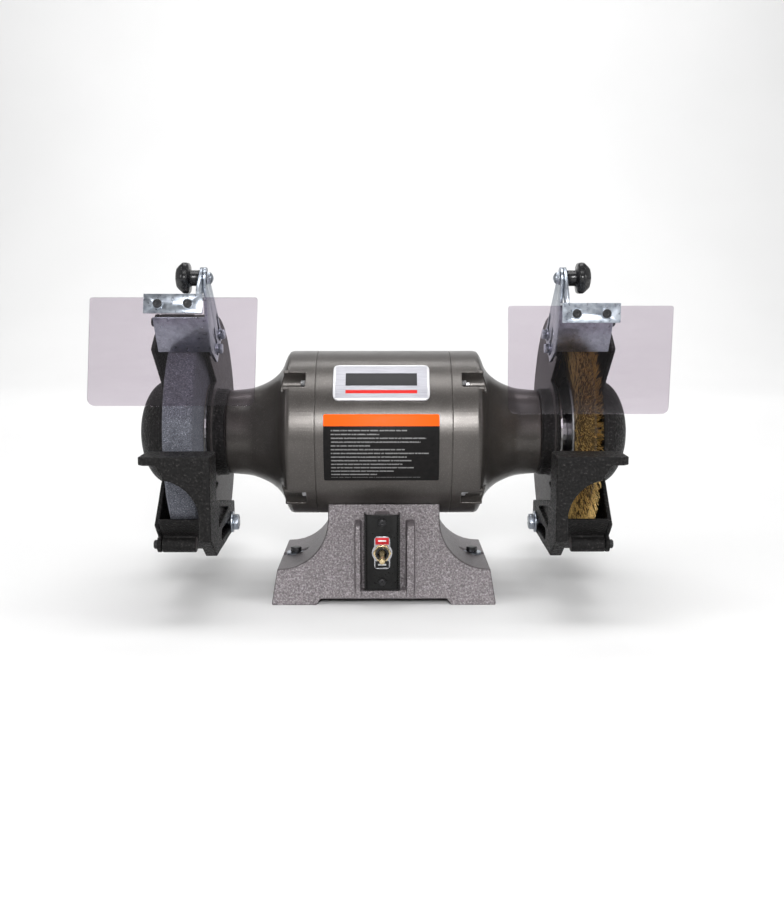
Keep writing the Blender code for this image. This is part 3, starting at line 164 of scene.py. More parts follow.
def turned(bm, profile, centre, axis, segments):
    """Adds a closed profile turned about the axis. Its points are (along, radius), or with "hex" or "lobed"."""
    turn = Vector(axis).normalized().to_track_quat("Z", "Y").to_matrix().to_4x4()
    place = Matrix.Translation(centre) @ turn
    rings = []
    for along, radius, *shape in profile:
        if radius == 0:
            rings.append([bm.verts.new(place @ Vector((0, 0, along)))])
            continue
        points = []
        for k in range(segments):
            angle = math.tau * k / segments
            reach = radius
            if shape == ["hex"]:
                part = (angle + math.pi / 6) % (math.pi / 3) - math.pi / 6
                reach = radius * math.cos(math.pi / 6) / math.cos(math.pi / 6 - abs(part))
            if shape == ["lobed"]:
                reach = radius * (1 + KNOB_LOBE * math.cos(6 * angle))
            point = Vector((reach * math.cos(angle), reach * math.sin(angle), along))
            points.append(bm.verts.new(place @ point))
        rings.append(points)
    for near, far in zip(rings, rings[1:] + rings[:1]):
        if len(near) == 1 and len(far) == 1:
            continue
        for k in range(segments):
            j = (k + 1) % segments
            if len(near) == 1:
                bm.faces.new((near[0], far[k], far[j]))
            elif len(far) == 1:
                bm.faces.new((near[k], far[0], near[j]))
            else:
                bm.faces.new((near[k], far[k], far[j], near[j]))
    return bm


def rod(bm, start, axis, length, radius, segments=24):
    return turned(bm, [(0, 0), (0, radius), (length, radius), (length, 0)], start, axis, segments)


def slab(bm, points, push):
    """Adds a flat outline given a thickness: the outline's points are copied by push."""
    low = [bm.verts.new(point) for point in points]
    high = [bm.verts.new(Vector(point) + push) for point in points]
    bm.faces.new(low)
    bm.faces.new(high)
    for k in range(len(low)):
        j = (k + 1) % len(low)
        bm.faces.new((low[k], low[j], high[j], high[k]))
    return bm


def piece(name, bm, material, body, smooth=32):
    """Makes a piece of a mesh in world coordinates that rides on a body."""
    bmesh.ops.recalc_face_normals(bm, faces=bm.faces)
    mesh = bpy.data.meshes.new(name)
    bm.to_mesh(mesh)
    bm.free()
    mesh.shade_smooth()
    mesh.set_sharp_from_angle(angle=math.radians(smooth))
    mesh.materials.append(material)
    obj = bpy.data.objects.new(name, mesh)
    bpy.context.scene.collection.objects.link(obj)
    if body:
        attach(obj, body)
    return obj


def apply_modifiers(obj, smooth=None):
    """Replaces the object's mesh with the result of its modifiers."""
    graph = bpy.context.evaluated_depsgraph_get()
    mesh = bpy.data.meshes.new_from_object(obj.evaluated_get(graph))
    obj.modifiers.clear()
    old = obj.data
    obj.data = mesh
    bpy.data.meshes.remove(old)
    mesh.shade_smooth()
    if smooth:
        mesh.set_sharp_from_angle(angle=math.radians(smooth))
    return obj


def body_of(node):
    return nodes[node]["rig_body"]


def cad_copy(node):
    """A bmesh of a CAD node's shape, with its doubled points merged and its flat faces whole."""
    bm = bmesh.new()
    bm.from_mesh(nodes[node].data)
    bmesh.ops.remove_doubles(bm, verts=bm.verts, dist=0.00001)
    bmesh.ops.dissolve_limit(bm, angle_limit=math.radians(1.0), verts=bm.verts, edges=bm.edges)
    return bm


def bevelled(node, material, width=0.0004, segments=2, smooth=32):
    """A CAD node's shape with its edges broken, in place of the node."""
    obj = piece(f"{node}_finished", cad_copy(node), material, body_of(node), smooth)
    bevel = obj.modifiers.new("edges", "BEVEL")
    bevel.width = width
    bevel.segments = segments
    bevel.limit_method = "ANGLE"
    bevel.angle_limit = math.radians(38)
    apply_modifiers(obj, smooth)
    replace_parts(obj, node)


def softened(obj, voxel, rounds):
    """Gives the object a casting's skin, with every edge rounded off a little."""
    remesh = obj.modifiers.new("skin", "REMESH")
    remesh.mode = "VOXEL"
    remesh.voxel_size = voxel
    soften = obj.modifiers.new("soften", "SMOOTH")
    soften.factor = 0.5
    soften.iterations = rounds
    return apply_modifiers(obj)


def cast(node, material, voxel, rounds):
    """A CAD node's shape as a casting, in place of the node."""
    obj = softened(piece(f"{node}_cast", cad_copy(node), material, body_of(node)), voxel, rounds)
    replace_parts(obj, node)


# ---------------------------------------------------------------- materials
class Surface:
    """A procedural material. It is placed by the piece's own coordinates, in metres, and moves with it."""

    def __init__(self, name, colour, roughness, metallic=0.0, specular=0.5, coat=0.0, coat_roughness=0.1):
        self.material = bpy.data.materials.new(name)
        self.material.use_nodes = True
        self.tree = self.material.node_tree
        self.shader = self.tree.nodes["Principled BSDF"]
        self.out = self.tree.nodes["Material Output"]
        self.shader.inputs["Base Color"].default_value = (*colour, 1.0)
        self.shader.inputs["Roughness"].default_value = roughness
        self.shader.inputs["Metallic"].default_value = metallic
        self.shader.inputs["Specular IOR Level"].default_value = specular
        self.shader.inputs["Coat Weight"].default_value = coat
        self.shader.inputs["Coat Roughness"].default_value = coat_roughness
        self.place = self.tree.nodes.new("ShaderNodeTexCoord").outputs["Object"]

    def node(self, kind, **settings):
        node = self.tree.nodes.new(kind)
        for key, value in settings.items():
            setattr(node, key, value)
        return node

    def link(self, source, target):
        self.tree.links.new(source, target)

    def stretched(self, scale):
        """Coordinates multiplied by scale along each axis."""
        mapping = self.node("ShaderNodeMapping")
        mapping.inputs["Scale"].default_value = scale
        self.link(self.place, mapping.inputs["Vector"])
        return mapping.outputs["Vector"]

    def noise(self, size, detail=4.0, roughness=0.55, stretch=(1, 1, 1)):
        """Noise from 0 to 1 whose features are about size metres."""
        node = self.node("ShaderNodeTexNoise")
        node.inputs["Scale"].default_value = 1.0
        node.inputs["Detail"].default_value = detail
        node.inputs["Roughness"].default_value = roughness
        self.link(self.stretched([v / size for v in stretch]), node.inputs["Vector"])
        return node.outputs["Fac"]

    def cells(self, size, feature="F1", smooth=0.0, output="Distance"):
        """Cells about size metres across."""
        node = self.node("ShaderNodeTexVoronoi", feature=feature)
        node.inputs["Scale"].default_value = 1.0
        if feature == "SMOOTH_F1":
            node.inputs["Smoothness"].default_value = smooth
        self.link(self.stretched([1 / size] * 3), node.inputs["Vector"])
        return node.outputs[output]

    def axis(self, name):
        """One coordinate of the piece's own place: X, Y or Z."""
        return self.split(self.place, name)

    def split(self, vector, name):
        node = self.node("ShaderNodeSeparateXYZ")
        self.link(vector, node.inputs[0])
        return node.outputs[name]

    def normal_axis(self, name):
        """One part of the surface's own direction."""
        return self.split(self.tree.nodes.new("ShaderNodeTexCoord").outputs["Normal"], name)

    def math(self, operation, a, b=0.0, clamp=False):
        node = self.node("ShaderNodeMath", operation=operation, use_clamp=clamp)
        for socket, value in zip(node.inputs, (a, b)):
            if isinstance(value, (int, float)):
                socket.default_value = value
            else:
                self.link(value, socket)
        return node.outputs[0]

    def ramp(self, value, stops):
        """Value between 0 and 1 turned into a colour or a grey through stops of (place, colour or number)."""
        node = self.node("ShaderNodeValToRGB")
        elements = node.color_ramp.elements
        while len(elements) > 1:
            elements.remove(elements[-1])
        for k, (place, colour) in enumerate(stops):
            element = elements[0] if k == 0 else elements.new(place)
            element.position = place
            shade = (colour,) * 3 if isinstance(colour, (int, float)) else colour
            element.color = (*shade, 1.0)
        self.link(value, node.inputs[0])
        return node.outputs[0]

    def between(self, value, low, high):
        """Value moved from low to high onto 0 to 1."""
        node = self.node("ShaderNodeMapRange", clamp=True)
        node.inputs["From Min"].default_value = low
        node.inputs["From Max"].default_value = high
        self.link(value, node.inputs["Value"])
        return node.outputs["Result"]

    def inside(self, value, low, high, soft=0.00008):
        """1 where value lies between low and high, 0 elsewhere."""
        above = self.between(value, low - soft, low + soft)
        below = self.math("SUBTRACT", 1.0, self.between(value, high - soft, high + soft))
        return self.math("MULTIPLY", above, below)

    def mix(self, factor, a, b, kind="MIX"):
        node = self.node("ShaderNodeMix", data_type="RGBA", blend_type=kind)
        for socket, value in ((node.inputs[0], factor), (node.inputs[6], a), (node.inputs[7], b)):
            if isinstance(value, (int, float)):
                socket.default_value = value if socket == node.inputs[0] else (value, value, value, 1.0)
            elif isinstance(value, tuple):
                socket.default_value = (*value, 1.0)
            else:
                self.link(value, socket)
        return node.outputs[2]

    def colour(self, value):
        self.link(value, self.shader.inputs["Base Color"])

    def rough(self, value):
        self.link(value, self.shader.inputs["Roughness"])

    def bump(self, *layers):
        """Layers of (height, depth in metres)."""
        before = None
        for height, depth in layers:
            node = self.node("ShaderNodeBump")
            node.inputs["Strength"].default_value = 1.0
            node.inputs["Distance"].default_value = depth
            self.link(height, node.inputs["Height"])
            if before:
                self.link(before, node.inputs["Normal"])
            before = node.outputs["Normal"]
        self.link(before, self.shader.inputs["Normal"])


# Near-black paint that turns lighter at the highest grain values: painted glints on the tops of the crinkled
# skin.
CASTING_BLACK_WITH_PAINTED_GLINTS = [(0.30, (0.003, 0.0028, 0.0028)), (0.58, (0.007, 0.0065, 0.0065)),
                 (0.74, (0.045, 0.041, 0.040))]


def body_paint():
    """Satin bronze-grey paint with a fine metal flake and a slight orange peel."""
    s = Surface("body_paint", (0.075, 0.069, 0.064), 0.36, metallic=0.55, coat=0.12, coat_roughness=0.25)
    flake = s.cells(0.00045, output="Color")
    speck = s.split(flake, "X")
    broad = s.noise(0.030, 3.0)
    base = s.ramp(broad, [(0.30, (0.062, 0.056, 0.052)), (0.70, (0.078, 0.071, 0.066))])
    s.colour(s.mix(s.ramp(speck, [(0.80, 0.0), (1.0, 0.45)]), base, (0.16, 0.15, 0.14)))
    s.rough(s.ramp(s.noise(0.012, 4.0), [(0.2, 0.27), (0.8, 0.36)]))
    s.bump((s.noise(0.0022, 2.0), 0.000035), (s.noise(0.0006, 2.0), 0.000012))
    return s.material


def base_paint():
    """Grey paint, hammered on the front and back walls and smooth on the sides and feet."""
    s = Surface("base_paint", (0.21, 0.19, 0.20), 0.45, metallic=0.35)
    facing = s.math("ABSOLUTE", s.normal_axis("Y"))
    front = s.between(facing, 0.70, 0.90)
    grain = s.noise(0.0015, 3.0, 0.6)
    fine = s.noise(0.0007, 2.0)
    tones = [(0.32, (0.105, 0.093, 0.098)), (0.50, (0.185, 0.166, 0.174)), (0.70, (0.360, 0.335, 0.348))]
    hammered = s.ramp(grain, tones)
    smooth = s.ramp(s.noise(0.020, 3.0), [(0.3, (0.150, 0.132, 0.140)), (0.7, (0.180, 0.160, 0.168))])
    s.colour(s.mix(front, smooth, hammered))
    s.rough(s.ramp(grain, [(0.3, 0.52), (0.7, 0.36)]))
    height = s.math("MULTIPLY", grain, s.math("ADD", s.math("MULTIPLY", front, 0.92), 0.08))
    s.bump((height, 0.0011), (s.math("MULTIPLY", fine, front), 0.00020), (s.noise(0.0035, 2.0), 0.00012))
    return s.material


def black_casting():
    """Rough black paint on a casting: a crinkled skin whose grain tops are coloured lighter as painted glints.
    """
    s = Surface("black_casting", (0.02, 0.019, 0.019), 0.50, specular=0.16)
    grain = s.noise(0.0021, 3.0, 0.6)
    lumps = s.cells(0.0026, "SMOOTH_F1", 0.4)
    # Colour follows the bump's grain and is lighter where the grain is high, so the lighter tops are painted
    # glints.
    s.colour(s.ramp(grain, CASTING_BLACK_WITH_PAINTED_GLINTS))
    s.rough(s.ramp(grain, [(0.35, 0.62), (0.7, 0.34)]))
    s.bump((lumps, 0.00045), (grain, 0.0011), (s.noise(0.012, 2.0), 0.00030))
    return s.material


def guard_paint():
    """The guards: rough black, with a greyer, smoother face on the motor's side."""
    s = Surface("guard_paint", (0.02, 0.019, 0.019), 0.50, specular=0.16)
    grain = s.noise(0.0021, 3.0, 0.6)
    inward = s.math("MULTIPLY", s.normal_axis("X"), s.axis("X"))
    face = s.between(s.math("MULTIPLY", inward, -1.0), 0.10, 0.14)
    # The black here also gets painted glints where its grain is high.
    black = s.ramp(grain, CASTING_BLACK_WITH_PAINTED_GLINTS)
    grey = s.ramp(s.noise(0.006, 4.0), [(0.3, (0.045, 0.040, 0.040)), (0.7, (0.080, 0.072, 0.072))])
    s.colour(s.mix(face, black, grey))
    s.rough(s.ramp(grain, [(0.3, 0.56), (0.7, 0.40)]))
    depth = s.math("SUBTRACT", 1.0, s.math("MULTIPLY", face, 0.75))
    s.bump((s.math("MULTIPLY", grain, depth), 0.0011), (s.noise(0.012, 2.0), 0.00025))
    return s.material


def abrasive():
    """Bonded grain: blue-grey with dark pores and bright crystals."""
    s = Surface("abrasive", (0.10, 0.105, 0.125), 0.92, specular=0.35)
    grain = s.cells(0.00055, output="Color")
    tone = s.split(grain, "X")
    base = s.ramp(tone, [(0.0, (0.055, 0.058, 0.070)), (0.30, (0.088, 0.092, 0.110)),
                         (0.75, (0.130, 0.136, 0.162)), (0.94, (0.20, 0.21, 0.25)),
                         (1.0, (0.34, 0.35, 0.40))])
    patch = s.ramp(s.noise(0.010, 3.0), [(0.3, 0.84), (0.7, 1.08)])
    s.colour(s.mix(1.0, base, patch, "MULTIPLY"))
    s.bump((tone, 0.00030), (s.noise(0.0016, 4.0, 0.7), 0.00045))
    return s.material


def metal(name, low, high, roughness, size=0.004, stretch=(1, 1, 1), depth=0.00003, metallic=1.0):
    """Plain metal with a faint mottle and fine scratches."""
    s = Surface(name, low, roughness, metallic)
    mottle = s.noise(size, 4.0, 0.6, stretch)
    s.colour(s.ramp(mottle, [(0.30, low), (0.70, high)]))
    s.rough(s.ramp(s.noise(size * 0.6, 3.0), [(0.25, roughness * 0.80), (0.75, roughness * 1.25)]))
    s.bump((s.noise(size * 0.35, 3.0, 0.6, stretch), depth))
    return s.material


def zinc():
    """Bright zinc plate: bluish, with a soft crystalline mottle."""
    s = Surface("zinc", (0.50, 0.55, 0.62), 0.30, metallic=1.0)
    cloud = s.noise(0.007, 4.0, 0.6)
    spangle = s.cells(0.0022, output="Color")
    base = s.ramp(cloud, [(0.28, (0.22, 0.25, 0.30)), (0.72, (0.40, 0.44, 0.50))])
    s.colour(s.mix(0.12, base, s.ramp(s.split(spangle, "X"), [(0.0, 0.25), (1.0, 0.95)])))
    s.rough(s.ramp(s.noise(0.0035, 3.0), [(0.25, 0.24), (0.75, 0.40)]))
    s.bump((s.noise(0.0018, 3.0), 0.00003), (s.noise(0.012, 2.0), 0.00025))
    return s.material


def plastic(name, low, high, roughness, grain=0.0008, depth=0.00002, specular=0.5):
    """Plain plastic, rubber or paper with a fine grain."""
    s = Surface(name, low, roughness, specular=specular)
    s.colour(s.ramp(s.noise(0.004, 3.0), [(0.3, low), (0.7, high)]))
    s.rough(s.ramp(s.noise(0.003, 3.0), [(0.25, roughness * 0.85), (0.75, roughness * 1.2)]))
    s.bump((s.noise(grain, 2.0), depth))
    return s.material


def clear_sheet():
    """Clear plastic sheet with a faint mauve tint and wipe marks, glossier where it is seen edge on."""
    s = Surface("clear_sheet", (0.86, 0.82, 0.86), 0.06)
    wipe = s.noise(0.030, 5.0, 0.7, (1, 1, 6))
    see = s.node("ShaderNodeBsdfTransparent")
    s.link(s.ramp(wipe, [(0.2, (0.800, 0.765, 0.800)), (0.8, (0.822, 0.788, 0.822))]), see.inputs["Color"])
    gloss = s.node("ShaderNodeBsdfGlossy")
    gloss.inputs["Roughness"].default_value = 0.06
    facing = s.node("ShaderNodeLayerWeight").outputs["Facing"]
    glare = s.math("ADD", s.math("MULTIPLY", s.math("POWER", facing, 5.0), 0.85), 0.035)
    mixed = s.node("ShaderNodeMixShader")
    s.link(glare, mixed.inputs[0])
    s.link(see.outputs[0], mixed.inputs[1])
    s.link(gloss.outputs[0], mixed.inputs[2])
    s.link(mixed.outputs[0], s.out.inputs["Surface"])
    s.tree.nodes.remove(s.shader)
    return s.material


PAINT = body_paint()
BASE = base_paint()
CASTING = black_casting()
GUARD = guard_paint()
GRIT = abrasive()
ZINC = zinc()
STEEL = metal("machined_steel", (0.24, 0.24, 0.25), (0.40, 0.40, 0.41), 0.30)
DARK_STEEL = metal("black_oxide", (0.012, 0.012, 0.013), (0.028, 0.028, 0.030), 0.38, metallic=0.5)
SWITCH_BLACK = plastic("switch_black", (0.005, 0.005, 0.005), (0.009, 0.009, 0.009), 0.30, specular=0.2)
BRASS = metal("yellow_metal", (0.50, 0.38, 0.20), (0.74, 0.60, 0.36), 0.25, metallic=0.75)
WIRE = metal("brass_wire", (0.34, 0.20, 0.055), (1.0, 0.72, 0.28), 0.33, 0.0010, metallic=0.5)
COPPER = metal("winding", (0.40, 0.14, 0.05), (0.62, 0.28, 0.12), 0.40, 0.002, (1, 6, 6), 0.0003)
LAMINATE = metal("laminations", (0.16, 0.16, 0.17), (0.28, 0.28, 0.29), 0.5, 0.0006, (1, 0.05, 0.05), 0.0001)
BLACK_PLASTIC = plastic("black_plastic", (0.006, 0.006, 0.007), (0.011, 0.011, 0.012), 0.26, specular=0.4)
RUBBER = plastic("rubber", (0.012, 0.012, 0.012), (0.022, 0.022, 0.022), 0.75, 0.0012, 0.00008)
PAPER = plastic("blotter_paper", (0.16, 0.15, 0.12), (0.26, 0.24, 0.20), 0.90, 0.0010, 0.00006)
CLEAR = clear_sheet()


def arc_place(s):
    """How far round the motor a place is, in degrees above the front."""
    forward = s.math("MULTIPLY", s.axis("Y"), -1.0)
    above = s.math("SUBTRACT", s.axis("Z"), SHAFT_HEIGHT)
    return s.math("MULTIPLY", s.math("ARCTAN2", above, forward), 180 / math.pi)


def nameplate_finish():
    """Bright plate with a satin panel, a plain dark bar and a plain red line."""
    s = Surface("nameplate_finish", (0.45, 0.45, 0.48), 0.40, metallic=0.20, specular=0.3)
    round_place = arc_place(s)
    low, high = NAMEPLATE_TURN
    panel = s.inside(s.axis("X"), -0.0418, 0.0378)
    panel = s.math("MULTIPLY", panel, s.inside(round_place, low + 1.5, high - 1.5, 0.1))
    brushed = s.noise(0.0008, 3.0, 0.6, (0.05, 1, 1))
    satin = s.ramp(brushed, [(0.3, (0.34, 0.34, 0.375)), (0.7, (0.46, 0.46, 0.50))])
    field = s.mix(panel, (0.66, 0.66, 0.68), satin)
    bar = s.math("MULTIPLY", s.inside(s.axis("X"), -0.0330, 0.0290), s.inside(round_place, 37.6, 47.6, 0.1))
    field = s.mix(bar, field, (0.018, 0.018, 0.020))
    line = s.math("MULTIPLY", s.inside(s.axis("X"), -0.0330, 0.0290), s.inside(round_place, 32.0, 34.4, 0.1))
    s.colour(s.mix(line, field, (0.55, 0.015, 0.012)))
    s.rough(s.mix(panel, 0.26, 0.46))
    s.bump((panel, 0.00025), (s.math("MAXIMUM", bar, line), 0.0001))
    return s.material


def label_finish():
    """Printed film: a plain orange band over a black field of plain grey bars. There is no lettering."""
    s = Surface("label_finish", (0.02, 0.02, 0.02), 0.42, specular=0.10)
    round_place = arc_place(s)
    band = s.between(round_place, 10.6, 10.8)
    rows = s.math("DIVIDE", s.math("SUBTRACT", 9.0, round_place), 2.50)
    row = s.math("FLOOR", rows)
    share = s.math("FRACT", rows)
    line = s.inside(share, 0.30, 0.62, 0.04)
    lengths = s.node("ShaderNodeTexWhiteNoise", noise_dimensions="1D")
    s.link(row, lengths.inputs["W"])
    end = s.math("ADD", s.math("MULTIPLY", lengths.outputs["Value"], 0.055), -0.012)
    start = s.math("GREATER_THAN", s.axis("X"), -0.0455)
    line = s.math("MULTIPLY", line, s.math("MULTIPLY", start, s.math("LESS_THAN", s.axis("X"), end)))
    line = s.math("MULTIPLY", line, s.inside(round_place, -24.5, 8.5, 0.1))
    gaps = s.noise(0.0016, 1.0, 0.5, (1, 0.001, 0.5))
    line = s.math("MULTIPLY", line, s.ramp(gaps, [(0.36, 0.15), (0.46, 1.0)]))
    black = s.ramp(s.noise(0.004, 3.0), [(0.3, (0.006, 0.006, 0.006)), (0.7, (0.010, 0.009, 0.009))])
    field = s.mix(line, black, (0.20, 0.20, 0.20))
    s.colour(s.mix(band, field, (0.80, 0.105, 0.006)))
    s.rough(s.ramp(s.noise(0.003, 3.0), [(0.25, 0.36), (0.75, 0.50)]))
    s.bump((s.noise(0.0015, 2.0), 0.00002))
    return s.material


def legend_finish():
    """Bright plate with a red tab over a black one, each with a plain pale bar."""
    s = Surface("legend_finish", (0.42, 0.42, 0.44), 0.30, metallic=0.6)
    up = s.math("SUBTRACT", s.axis("Z"), SHAFT_HEIGHT + SWITCH_UP)
    across = s.math("SUBTRACT", s.axis("X"), SWITCH_X)
    width = s.inside(across, -0.0060, 0.0060)
    high = s.math("MULTIPLY", width, s.inside(up, 0.0074, 0.0136))
    low = s.math("MULTIPLY", width, s.inside(up, -0.0136, -0.0074))
    mark = s.inside(s.math("ABSOLUTE", up), 0.0100, 0.0114)
    mark = s.math("MULTIPLY", s.inside(across, -0.0035, 0.0035), mark)
    silver = s.ramp(s.noise(0.001, 3.0), [(0.3, (0.30, 0.30, 0.32)), (0.7, (0.50, 0.50, 0.52))])
    field = s.mix(high, silver, (0.40, 0.012, 0.018))
    field = s.mix(low, field, (0.012, 0.012, 0.013))
    s.colour(s.mix(mark, field, (0.60, 0.60, 0.60)))
    s.rough(s.mix(s.math("MAXIMUM", high, low), 0.22, 0.40))
    s.bump((s.math("MAXIMUM", high, low), -0.0001), (s.noise(0.0012, 2.0), 0.00001))
    return s.material


# ---------------------------------------------------------------- shapes made finer than the CAD's
def smooth_line(points, steps=5):
    """A smooth line through points of (along, radius)."""
    line = []
    for k in range(len(points) - 1):
        p0 = points[max(k - 1, 0)]
        p1, p2 = points[k], points[k + 1]
        p3 = points[min(k + 2, len(points) - 1)]
        for j in range(steps):
            t = j / steps
            spot = []
            for a, b, c, d in zip(p0, p1, p2, p3):
                spot.append(0.5 * (2 * b + (c - a) * t + (2 * a - 5 * b + 4 * c - d) * t * t
                                   + (3 * b - a - 3 * c + d) * t * t * t))
            line.append(tuple(spot))
    line.append(points[-1])
    return line


def tool_object(bm):
    """A mesh as a bare object for a Boolean to use."""
    bmesh.ops.recalc_face_normals(bm, faces=bm.faces)
    mesh = bpy.data.meshes.new("tool")
    bm.to_mesh(mesh)
    bm.free()
    obj = bpy.data.objects.new("tool", mesh)
    bpy.context.scene.collection.objects.link(obj)
    return obj


def shaped(name, bm, steps, material, body, voxel, rounds):
    """A casting made of a mesh and a list of (operation, mesh) Booleans."""
    obj = piece(name, bm, material, None)
    tools = []
    for operation, tool_mesh in steps:
        tool = tool_object(tool_mesh)
        tools.append(tool)
        modifier = obj.modifiers.new("step", "BOOLEAN")
        modifier.operation = operation
        modifier.solver = "EXACT"
        modifier.object = tool
    softened(obj, voxel, rounds)
    for tool in tools:
        mesh = tool.data
        bpy.data.objects.remove(tool)
        bpy.data.meshes.remove(mesh)
    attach(obj, body)
    return obj


def side_slab(bm, side, outline, out0, out1):
    """Adds an outline of (fwd, up) points given a thickness from out0 to out1."""
    points = [at(side, out0, fwd, up) for fwd, up in outline]
    return slab(bm, points, Vector((side * (out1 - out0), 0, 0)))


def arc(centre, radius, start, end, steps):
    """Points along an arc between two angles in degrees."""
    points = []
    for k in range(steps + 1):
        angle = math.radians(start + (end - start) * k / steps)
        points.append((centre[0] + radius * math.cos(angle), centre[1] + radius * math.sin(angle)))
    return points


def pocket_places():
    """The (fwd, up) places of the four through bolts in an end bell."""
    return [on_circle(BODY_R - POCKET_R, 45 + 90 * k) for k in range(4)]


def channel_outline(centre, away, radius, reach):
    """Outline of a channel with a half-round floor at its centre, open in the direction away."""
    angle = math.degrees(math.atan2(away.y, away.x))
    across = Vector((-away.y, away.x)) * radius
    outline = arc(tuple(centre), radius, angle + 90, angle + 270, 16)
    return outline + [tuple(centre + away * reach - across), tuple(centre + away * reach + across)]


def end_bell(hand, side):
    """Skirt and flared neck round the bearing's seat, with four bolt pockets in raised lugs."""
    flare = [(SKIRT_HALF + 0.0003, BODY_R - 0.0028), (0.0887, 0.0678), (0.0915, 0.0610), (0.0961, 0.0544),
             (0.1041, 0.0479), (0.1138, 0.0432), (0.1234, 0.0403), (NECK_END, NECK_R)]
    outline = [(SHELL_HALF + GAP / 2, BODY_R), (SKIRT_HALF - 0.0040, BODY_R),
               (SKIRT_HALF - 0.0012, BODY_R - 0.0008)]
    outline += smooth_line(flare)
    outline += [(NECK_END, 0.0105), (0.1326, 0.0105), (0.1326, 0.0203), (0.1170, 0.0203), (0.1170, 0.0335),
                (0.0955, 0.047), (SHELL_HALF + 0.0067, 0.0575), (SHELL_HALF + 0.0067, BODY_R - BODY_WALL),
                (SHELL_HALF + GAP / 2, BODY_R - BODY_WALL)]
    floor = SKIRT_HALF - POCKET_DEPTH
    lugs = bmesh.new()
    pockets = bmesh.new()
    for fwd, up in pocket_places():
        away = Vector((fwd, up)).normalized()
        centre = Vector((fwd, up)) + away * POCKET_SHIFT
        lug = channel_outline(centre, away, POCKET_R + LUG_WALL, BODY_R - 0.0010 - centre.length)
        side_slab(lugs, side, lug, SHELL_HALF + 0.012, SKIRT_HALF + LUG_REACH)
        side_slab(pockets, side, channel_outline(centre, away, POCKET_R, 0.020), floor, floor + 0.040)
    bell = turned(bmesh.new(), outline, at(side, 0, 0, 0), (side, 0, 0), 144)
    steps = [("UNION", lugs), ("DIFFERENCE", pockets)]
    obj = shaped(f"end_bell_{hand}_finished", bell, steps, PAINT, "stand", voxel=VOXEL * 0.7, rounds=2)
    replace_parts(obj, f"end_bell_{hand}")


def motor_shell():
    """The shell, with a lip inside each end so that no light shows through the seams."""
    half = SHELL_HALF - GAP / 2
    lip = half + 0.0016
    edge = BODY_R - 0.0002
    inner = BODY_R - BODY_WALL + 0.0005
    step = BODY_R - 0.0007
    outline = [(-lip, inner), (-lip, step), (-half, step), (-half, edge), (-half + 0.0002, BODY_R),
               (half - 0.0002, BODY_R), (half, edge), (half, step), (lip, step), (lip, inner)]
    tube = turned(bmesh.new(), outline, at(1, 0, 0, 0), (1, 0, 0), 192)
    shell = piece("motor_shell_finished", tube, PAINT, "stand")
    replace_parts(shell, "motor_shell")


def front_opening(upper_rim, upper_hub, lower_hub, lower_rim, land):
    """Outline, in (fwd, up), of what is cut away in front of a guard, from its rim in to the hub's land."""
    start = math.degrees(math.atan2(upper_hub[1], upper_hub[0]))
    end = math.degrees(math.atan2(lower_hub[1], lower_hub[0]))
    outline = arc((0, 0), land, start, end, 28)
    for rim, hub in ((lower_rim, lower_hub), (upper_rim, upper_hub)):
        outward = Vector(rim) - Vector(hub)
        outline.append(tuple(Vector(hub) + outward * 1.6))
    outline.insert(-1, (OPENING_FRONT, outline[-2][1]))
    outline.insert(-1, (OPENING_FRONT, outline[-1][1]))
    return outline


def guard(hand, side):
    """Drum round the wheel, open at the front, with its bosses, exhaust stub, bolt pads and holes."""
    outline = [(NECK_END + GAP, GUARD_BORE_R), (NECK_END + GAP, HUB_R - 0.002), (NECK_END + 0.0023, HUB_R),
               (GUARD_FACE, HUB_R), (GUARD_FACE, GUARD_R - 0.001), (GUARD_FACE + 0.001, GUARD_R),
               (GUARD_EDGE, GUARD_R), (GUARD_EDGE, GUARD_BORE_R)]
    shell = turned(bmesh.new(), outline, at(side, 0, 0, 0), (side, 0, 0), 144)
    bosses = bmesh.new()
    holes = bmesh.new()
    for angle in BOSS_ANGLES:
        spot = on_circle(BOSS_RING_R, angle)
        rod(bosses, at(side, BOSS_START, *spot), (side, 0, 0), GUARD_EDGE - 0.0001 - BOSS_START, BOSS_R)
    stub_start = at(side, (GUARD_FACE + GUARD_EDGE) / 2, EXHAUST_START, EXHAUST_UP)
    stub = rod(bmesh.new(), stub_start, (0, 1, 0), REST_REACH + EXHAUST_START, EXHAUST_R, 48)
    back = at(side, GUARD_FACE + GUARD_WALL, 0, 0)
    cavity = rod(bmesh.new(), back, (side, 0, 0), 0.060, GUARD_R - GUARD_RIM, 144)
    bore = rod(bmesh.new(), stub_start, (0, 1, 0), 0.080, EXHAUST_R - EXHAUST_WALL, 48)
    mouth = front_opening(*GUARD_MOUTH, HUB_LAND_R)
    mouth = side_slab(bmesh.new(), side, mouth, 0.150, 0.200)
    pads = bmesh.new()
    for fwd, up in DEFLECTOR_BOLTS:
        start = DEFLECTOR_FACE + DEFLECTOR_T + GAP
        rod(pads, at(side, start, fwd, up), (side, 0, 0), GUARD_FACE + 0.001 - start, DEFLECTOR_PAD_R)
    start = REST_IN + REST_ARM_T + GAP
    rod(pads, at(side, start, *REST_BOLT), (side, 0, 0), GUARD_FACE + 0.001 - start, REST_PAD_R)
    for fwd, up in DEFLECTOR_BOLTS:
        rod(holes, at(side, HOLE_START, fwd, up), (side, 0, 0), HOLE_DEPTH, DEFLECTOR_BOLT_R + GAP)
    rod(holes, at(side, HOLE_START, *REST_BOLT), (side, 0, 0), HOLE_DEPTH, REST_BOLT_R + GAP)
    steps = [("UNION", bosses), ("UNION", stub), ("DIFFERENCE", cavity), ("DIFFERENCE", bore),
             ("DIFFERENCE", mouth), ("UNION", pads), ("DIFFERENCE", holes)]
    obj = shaped(f"wheel_guard_{hand}_cast", shell, steps, GUARD, "stand", voxel=VOXEL, rounds=3)
    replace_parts(obj, f"wheel_guard_{hand}")


